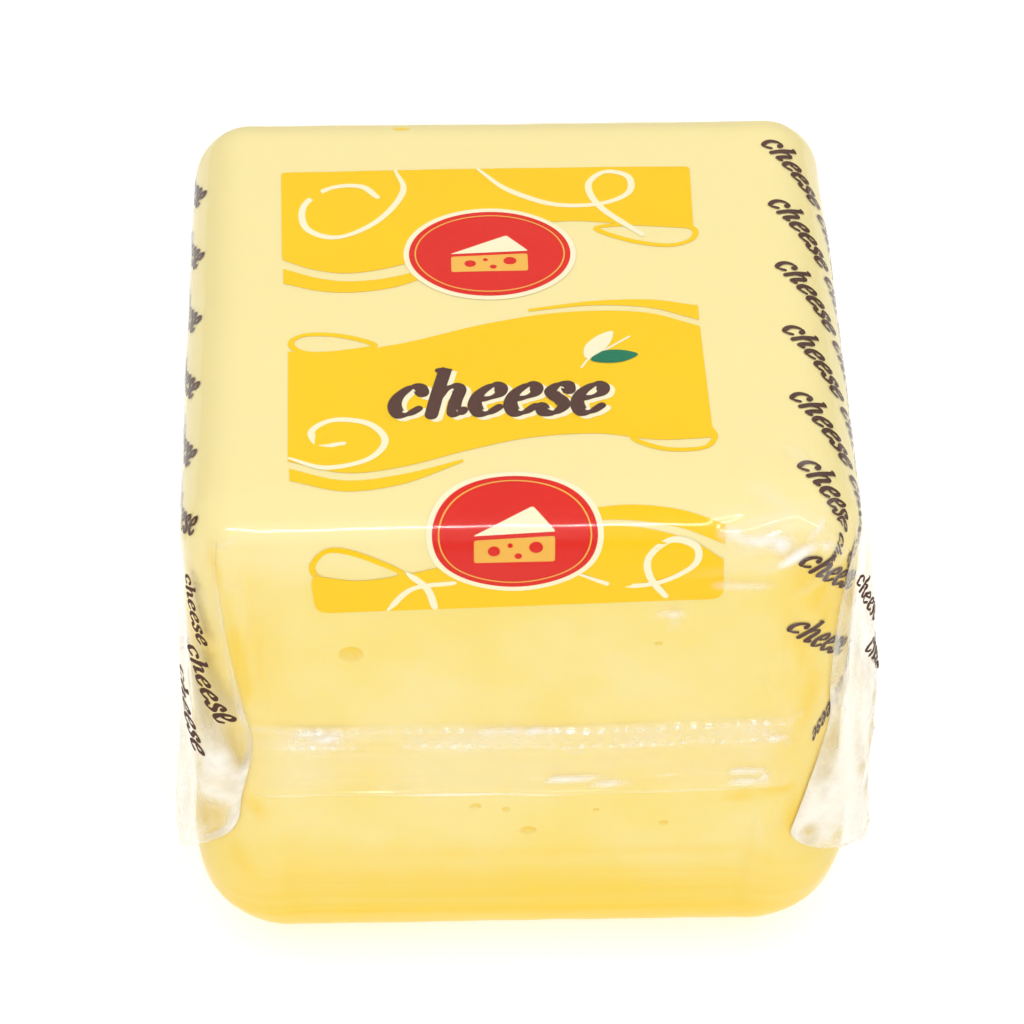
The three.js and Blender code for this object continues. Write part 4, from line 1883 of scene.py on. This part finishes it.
@dataclass
class FilmPrint:
    """All of the print: three bands with white curls, two badges, a plain word and rows of small words."""

    curl_pen: Pen = Pen(1.15, 0.85)
    curl_taper: tuple[float, float] = (0.45, 0.8)
    title: Word = Word("cheese", 6.6, Pen(2.35, 0.8), spacing=0.035)
    title_place: tuple[float, float] = (-20.6, -26.6)
    shadow_step: tuple[float, float] = (0.75, -0.55)
    small: Word = Word("cheese", 2.9, Pen(0.92, 0.38), spacing=0.07)
    side_slope: float = math.radians(57)
    corner_slope: float = math.radians(46)
    ear_slope: float = math.radians(62)
    word_gap: float = 1.4
    rows: int = 6
    row_pitch: float = 15.3
    first_row: float = 38.5
    right_edge: float = -41.8
    right_low: tuple[float, float] = (8.0, -80.0)
    left_edge: tuple[float, float] = (9.0, -53.0)
    left_low: tuple[float, float] = (-8.0, -36.0)
    corner_places: Knots = ((95.0, -41.6), (80.5, -40.6))
    ear_words: tuple[tuple[str, FilmEar, Knots], ...] = (
        ("words_ear_right", FRONT_RIGHT_EAR, ((2.0, -11.0), (5.5, -28.0))),
        ("words_ear_left", FRONT_LEFT_EAR, ((-14.5, -11.0), (-11.0, -26.5), (-16.0, -35.8))),
        ("words_ear_back_right", BACK_RIGHT_EAR, ((-12.0, -12.0), (-9.0, -30.0))),
        ("words_ear_back_left", BACK_LEFT_EAR, ((4.0, -14.0), (2.0, -30.0))),
    )

    def build(self, finishes: Finishes) -> None:
        """Lays all the ink.

        Args:
            finishes: The pack's materials.
        """
        printer = Printer(finishes)
        for band in self._bands():
            band.build(printer)
        for name, curls in self._curls().items():
            marks = [self.curl_pen.draw(flow(curl, 12), self.curl_taper) for curl in curls]
            printer.lay(name, Ink.CREAM, marks, Layer.CURL, Turn.TOP_FRONT)
        Badge("badge_rear", (-3.8, 10.7), (13.0, 10.2)).build(printer)
        Badge("badge_front", (-1.4, -49.6), (12.6, 9.6)).build(printer)
        self._title(printer)
        self._sprig(printer)
        self._rows(printer)

    def _bands(self) -> list[RibbonBand]:
        """The three golden bands.

        Returns:
            The bands from the rear to the front.
        """
        rear = np.vstack([
            flow(((-37.2, 10.2), (-32, 7.6), (-26, 6.6), (-18, 8.4), (-8, 13.4), (2, 17.4), (10, 18.6),
                  (20, 17.4), (29.4, 16.6))),
            rounded(((29.4, 16.6), (29.7, 32.4), (-37.6, 32.0), (-37.2, 10.2)), 0.8)[5:],
        ])
        rear_stripe = np.vstack([
            flow(((-37.0, 8.0), (-31, 5.4), (-25, 4.6), (-17, 6.2), (-8, 10.6))),
            flow(((-8, 9.4), (-17, 3.8), (-25, 2.0), (-31, 2.4), (-36.9, 4.4))),
        ])
        middle = np.vstack([
            flow(((-36.0, -11.6), (-28, -12.0), (-18, -10.2), (-8, -7.0), (2, -4.4), (12, -3.2),
                  (21, -3.8), (29.0, -7.0))),
            flow(((29.6, -32.0), (21, -32.4), (12, -31.0), (2, -31.6), (-8, -34.2), (-18, -37.6),
                  (-27, -38.8), (-35.8, -36.0))),
        ])
        middle_stripes = (
            np.vstack([
                flow(((2, -2.7), (12, -0.9), (21, -0.6), (29.0, -2.0))),
                flow(((29.0, -5.5), (21, -2.5), (12, -1.9), (2, -3.3))),
            ]),
            np.vstack([
                flow(((-35.6, -37.6), (-27, -40.4), (-18, -39.2), (-9, -36.2))),
                flow(((-9, -36.8), (-18, -41.2), (-27, -42.5), (-35.5, -40.2))),
            ]),
        )
        front = np.vstack([
            flow(((-32.6, -56.2), (-24, -57.5), (-14, -55.2), (-4, -51.4), (6, -48.9), (16, -48.5),
                  (25, -50.6), (30.4, -54.0))),
            rounded(((30.4, -54.0), (30.7, -62.6), (-31.9, -64.6), (-32.6, -56.2)), 2.2)[5:],
        ])
        front_stripe = np.vstack([
            flow(((7, -46.2), (16, -45.3), (24, -46.2), (30.5, -48.4))),
            flow(((30.5, -51.4), (24, -48.9), (16, -47.6), (7, -47.6))),
        ])
        return [
            RibbonBand("band_rear", rear, (rear_stripe,), (
                ((13.6, 16.6), (19, 13.6), (25, 12.4), (29.0, 14.0), (29.2, 16.8), (24, 18.0), (18, 17.6)),)),
            RibbonBand("band_middle", middle, middle_stripes, (
                ((-22.4, -10.6), (-28, -8.2), (-33.4, -7.9), (-35.6, -9.8), (-33.4, -12.0), (-28, -12.0)),
                ((17.2, -31.8), (22, -29.6), (27.4, -29.0), (29.8, -31.4), (28, -34.2), (22, -34.4)))),
            RibbonBand("band_front", front, (front_stripe,), (
                ((-18.6, -56.2), (-24, -52.8), (-29.6, -51.6), (-32.2, -54.4), (-30.4, -57.4),
                 (-24, -57.8)),)),
        ]

    def _curls(self) -> dict[str, list[Knots]]:
        """The pen paths of the white curls on each band.

        Returns:
            The curls of each piece, by its name.
        """
        return {
            "curls_rear": [
                ((-18.8, 32.0), (-17.6, 26.5), (-21.5, 19.5), (-28.0, 15.4), (-33.2, 17.6), (-33.8, 23.2),
                 (-29.8, 27.6), (-24.6, 28.0), (-21.8, 25.2)),
                ((-5.2, 32.0), (-0.6, 26.8), (6.6, 23.0), (14.0, 22.8), (19.2, 25.6), (19.4, 29.8),
                 (15.6, 31.0), (12.8, 27.6), (14.6, 22.0), (21.0, 15.0)),
            ],
            "curls_middle": [
                ((-35.6, -35.4), (-30.0, -37.6), (-23.6, -36.0), (-20.9, -32.0), (-23.4, -28.2),
                 (-28.8, -27.2), (-32.2, -29.6), (-30.8, -32.6), (-27.2, -32.4)),
            ],
            "curls_front": [
                ((8.6, -56.8), (14.4, -59.4), (21.0, -58.6), (25.8, -55.2), (26.2, -51.8), (22.4, -50.6),
                 (19.0, -53.4), (19.3, -57.6), (21.8, -61.8)),
                ((-20.8, -64.0), (-17.0, -59.4), (-10.6, -58.2)),
                ((-17.8, -56.0), (-14.8, -59.4), (-13.6, -63.6)),
            ],
        }

    def _title(self, printer: Printer) -> None:
        """The plain word on the middle band, with a cream shade behind it.

        Args:
            printer: What lays the ink.
        """
        word = self.title.outlines()
        shade_place = tuple(a + b for a, b in zip(self.title_place, self.shadow_step))
        printer.lay("title_shade", Ink.CREAM, moved(word, shade_place), Layer.BORDER, Turn.TOP_FRONT)
        printer.lay("title_word", Ink.BROWN, moved(word, self.title_place), Layer.PICTURE, Turn.TOP_FRONT)

    def _sprig(self, printer: Printer) -> None:
        """Two leaves on a pale stem.

        Args:
            printer: What lays the ink.
        """
        leaf = flow(((0, 0), (2.0, 1.6), (5.2, 1.5), (7.6, 0.2), (5.0, -1.1), (2.0, -1.0)), 6, closed=True)
        stem = Pen(0.4, 0.35).draw(flow(((-1.8, -1.8), (0.6, -0.3), (4.2, 0.4), (8.2, 1.4)), 6))
        for name, ink, shape, place, turn, layer in (
            ("sprig_stem", Ink.CREAM, stem, (10.8, -14.0), 24, Layer.BORDER),
            ("sprig_leaf_pale", Ink.CREAM, filled(leaf), (10.6, -14.3), 52, Layer.PICTURE),
            ("sprig_leaf_green", Ink.GREEN, filled(leaf), (11.4, -14.7), 8, Layer.PICTURE),
        ):
            printer.lay(name, ink, moved([shape], place, math.radians(turn)), layer, Turn.TOP_FRONT)

    def _row(self, words: int) -> list[Outline]:
        """Some small words in a line.

        Args:
            words: How many words there are.

        Returns:
            The words' outlines.
        """
        pitch = self.small.length + self.word_gap
        shapes = []
        for index in range(words):
            shapes += moved(self.small.outlines(), (index * pitch, 0))
        return shapes

    def _rows(self, printer: Printer) -> None:
        """The rows of small words that run down over the two sides and round the front edges.

        Args:
            printer: What lays the ink.
        """
        right, left = [], []
        over = -self.side_slope - math.pi / 2
        up = math.pi / 2 - self.side_slope
        run = np.array([math.sin(self.side_slope), math.cos(self.side_slope)])
        for index in range(self.rows):
            at = self.first_row - index * self.row_pitch
            right += moved(self._row(2), (at, self.right_edge), over)
            right += moved(self._row(2), (at + self.right_low[0], self.right_low[1]), over)
            end = np.array([-(at - self.left_edge[0]), self.left_edge[1]])
            end -= run * (2 * self.small.length + self.word_gap)
            left += moved(self._row(2), tuple(end), up)
            left += moved(self._row(2), tuple(end + self.left_low), up)
        printer.lay("words_right", Ink.BROWN, right, Layer.PICTURE, Turn.TOP_RIGHT)
        printer.lay("words_left", Ink.BROWN, left, Layer.PICTURE, Turn.TOP_LEFT)
        turn = -self.corner_slope - math.pi / 2
        corner = [shape for at in self.corner_places for shape in moved(self._row(1), at, turn)]
        printer.lay("words_front_right", Ink.BROWN, corner, Layer.PICTURE, Turn.FRONT_RIGHT)
        for name, ear, places in self.ear_words:
            rows = [shape for at in places for shape in moved(self._row(1), at, -self.ear_slope)]
            printer.lay_on_ear(name, Ink.BROWN, rows, ear)


# ---------------------------------------------------------------------------------------------------------
# The setting
# ---------------------------------------------------------------------------------------------------------


@dataclass(frozen=True)
class SoftBox:
    """A lamp with a plain white face, aimed at the pack."""

    name: str
    place: tuple[float, float, float]
    size: tuple[float, float]
    brightness: float
    glint_only: bool = False

    def build(self, aim: Vector) -> None:
        """Hangs the lamp.

        Args:
            aim: The point that the lamp faces.
        """
        light = bpy.data.lights.new(self.name, "AREA")
        light.shape = "RECTANGLE"
        light.size, light.size_y = self.size
        light.energy = self.brightness * math.pi * self.size[0] * self.size[1]
        lamp = bpy.data.objects.new(self.name, light)
        lamp.location = self.place
        lamp.rotation_euler = (aim - Vector(self.place)).to_track_quat("-Z", "Y").to_euler()
        lamp.visible_diffuse = not self.glint_only
        bpy.context.scene.collection.objects.link(lamp)


@dataclass
class Setting:
    """A pale floor, soft lamps and the camera, which looks down on the mouth end of the pack."""

    pitch: float = math.radians(45.0)
    yaw: float = math.radians(2.2)
    roll: float = math.radians(0.8)
    distance: float = 0.684
    lens: float = 143.0
    framing: float = 0.00274
    sensor: float = 36.0
    near_clip: float = 0.05
    horizon: float = 0.2
    zenith: float = 1.25
    sky_blend: tuple[float, float] = (0.2, 0.75)
    floor_size: float = 6.0
    floor_paleness: float = 0.6
    floor_glow: float = 0.58
    lamps: tuple[SoftBox, ...] = (
        SoftBox("crest_strip", (0.0, -0.76, 0.72), (1.1, 0.016), 260.0, glint_only=True),
        SoftBox("front_box", (0.1, -1.6, 0.9), (1.6, 0.8), 1.7),
    )

    def build(self) -> None:
        """Sets up the floor, the light and the camera."""
        self._floor()
        self._surround()
        low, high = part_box("cheese_block")
        middle = (low + high) / 2
        for lamp in self.lamps:
            lamp.build(middle)
        self._camera(middle)
        bpy.context.scene.view_settings.view_transform = "Standard"

    def _floor(self) -> None:
        """A pale plain floor."""
        material = bpy.data.materials.new("floor_white")
        material.use_nodes = True
        sketch = NodeSketch(material.node_tree)
        shader = sketch.add(
            "ShaderNodeBsdfPrincipled",
            {
                "Base Color": (self.floor_paleness,) * 3 + (1,), "Roughness": 0.9,
                "Specular IOR Level": 0.0, "Emission Color": WHITE,
                "Emission Strength": self.floor_glow,
            },
        )
        sketch.add("ShaderNodeOutputMaterial", {"Surface": shader.outputs[0]})
        mesh = bpy.data.meshes.new("floor")
        half = self.floor_size / 2
        corners = [(-half, -half, 0), (half, -half, 0), (half, half, 0), (-half, half, 0)]
        mesh.from_pydata(corners, [], [(0, 1, 2, 3)])
        mesh.materials.append(material)
        floor = bpy.data.objects.new("floor", mesh)
        bpy.context.scene.collection.objects.link(floor)

    def _surround(self) -> None:
        """Even white light from above that fades towards the horizon."""
        world = bpy.data.worlds.new("studio")
        world.use_nodes = True
        sketch = NodeSketch(world.node_tree)
        place = sketch.add("ShaderNodeTexCoord")
        parts = sketch.add("ShaderNodeSeparateXYZ", {0: place.outputs["Generated"]})
        light = sketch.add(
            "ShaderNodeMapRange",
            {"Value": parts.outputs["Z"], "From Min": self.sky_blend[0], "From Max": self.sky_blend[1],
             "To Min": self.horizon, "To Max": self.zenith},
            interpolation_type="SMOOTHSTEP",
        )
        sky = sketch.add("ShaderNodeBackground", {"Color": WHITE, "Strength": light.outputs[0]})
        sketch.add("ShaderNodeOutputWorld", {"Surface": sky.outputs[0]})
        bpy.context.scene.world = world

    def _camera(self, middle: Vector) -> None:
        """A long lens, above and in front of the pack and slightly to its left.

        Args:
            middle: The middle of the block, in metres.
        """
        camera = bpy.data.cameras.new("camera")
        camera.lens = self.lens
        camera.sensor_width = self.sensor
        camera.clip_start = self.near_clip
        holder = bpy.data.objects.new("camera", camera)
        turn = (
            Matrix.Rotation(-self.yaw, 3, "Z")
            @ Matrix.Rotation(math.pi / 2 - self.pitch, 3, "X")
            @ Matrix.Rotation(self.roll, 3, "Z")
        )
        aim = middle + turn @ Vector((0, self.framing, 0))
        stand = aim + turn @ Vector((0, 0, self.distance))
        holder.matrix_world = Matrix.Translation(stand) @ turn.to_4x4()
        bpy.context.scene.collection.objects.link(holder)
        bpy.context.scene.camera = holder


def main() -> None:
    """Builds the pack and its setting."""
    logging.basicConfig(level=logging.INFO, format="%(name)s: %(message)s")
    finishes = Finishes()
    CheeseBlock().build(finishes)
    FilmBody().build(finishes)
    SealFin(end=-1, seed=11).build(finishes)
    SealFin(end=1, seed=17).build(finishes)
    for ear in (FRONT_RIGHT_EAR, FRONT_LEFT_EAR, BACK_RIGHT_EAR, BACK_LEFT_EAR):
        ear.build(finishes)
    FilmPrint().build(finishes)
    Setting().build()


if __name__ == "__main__":
    main()
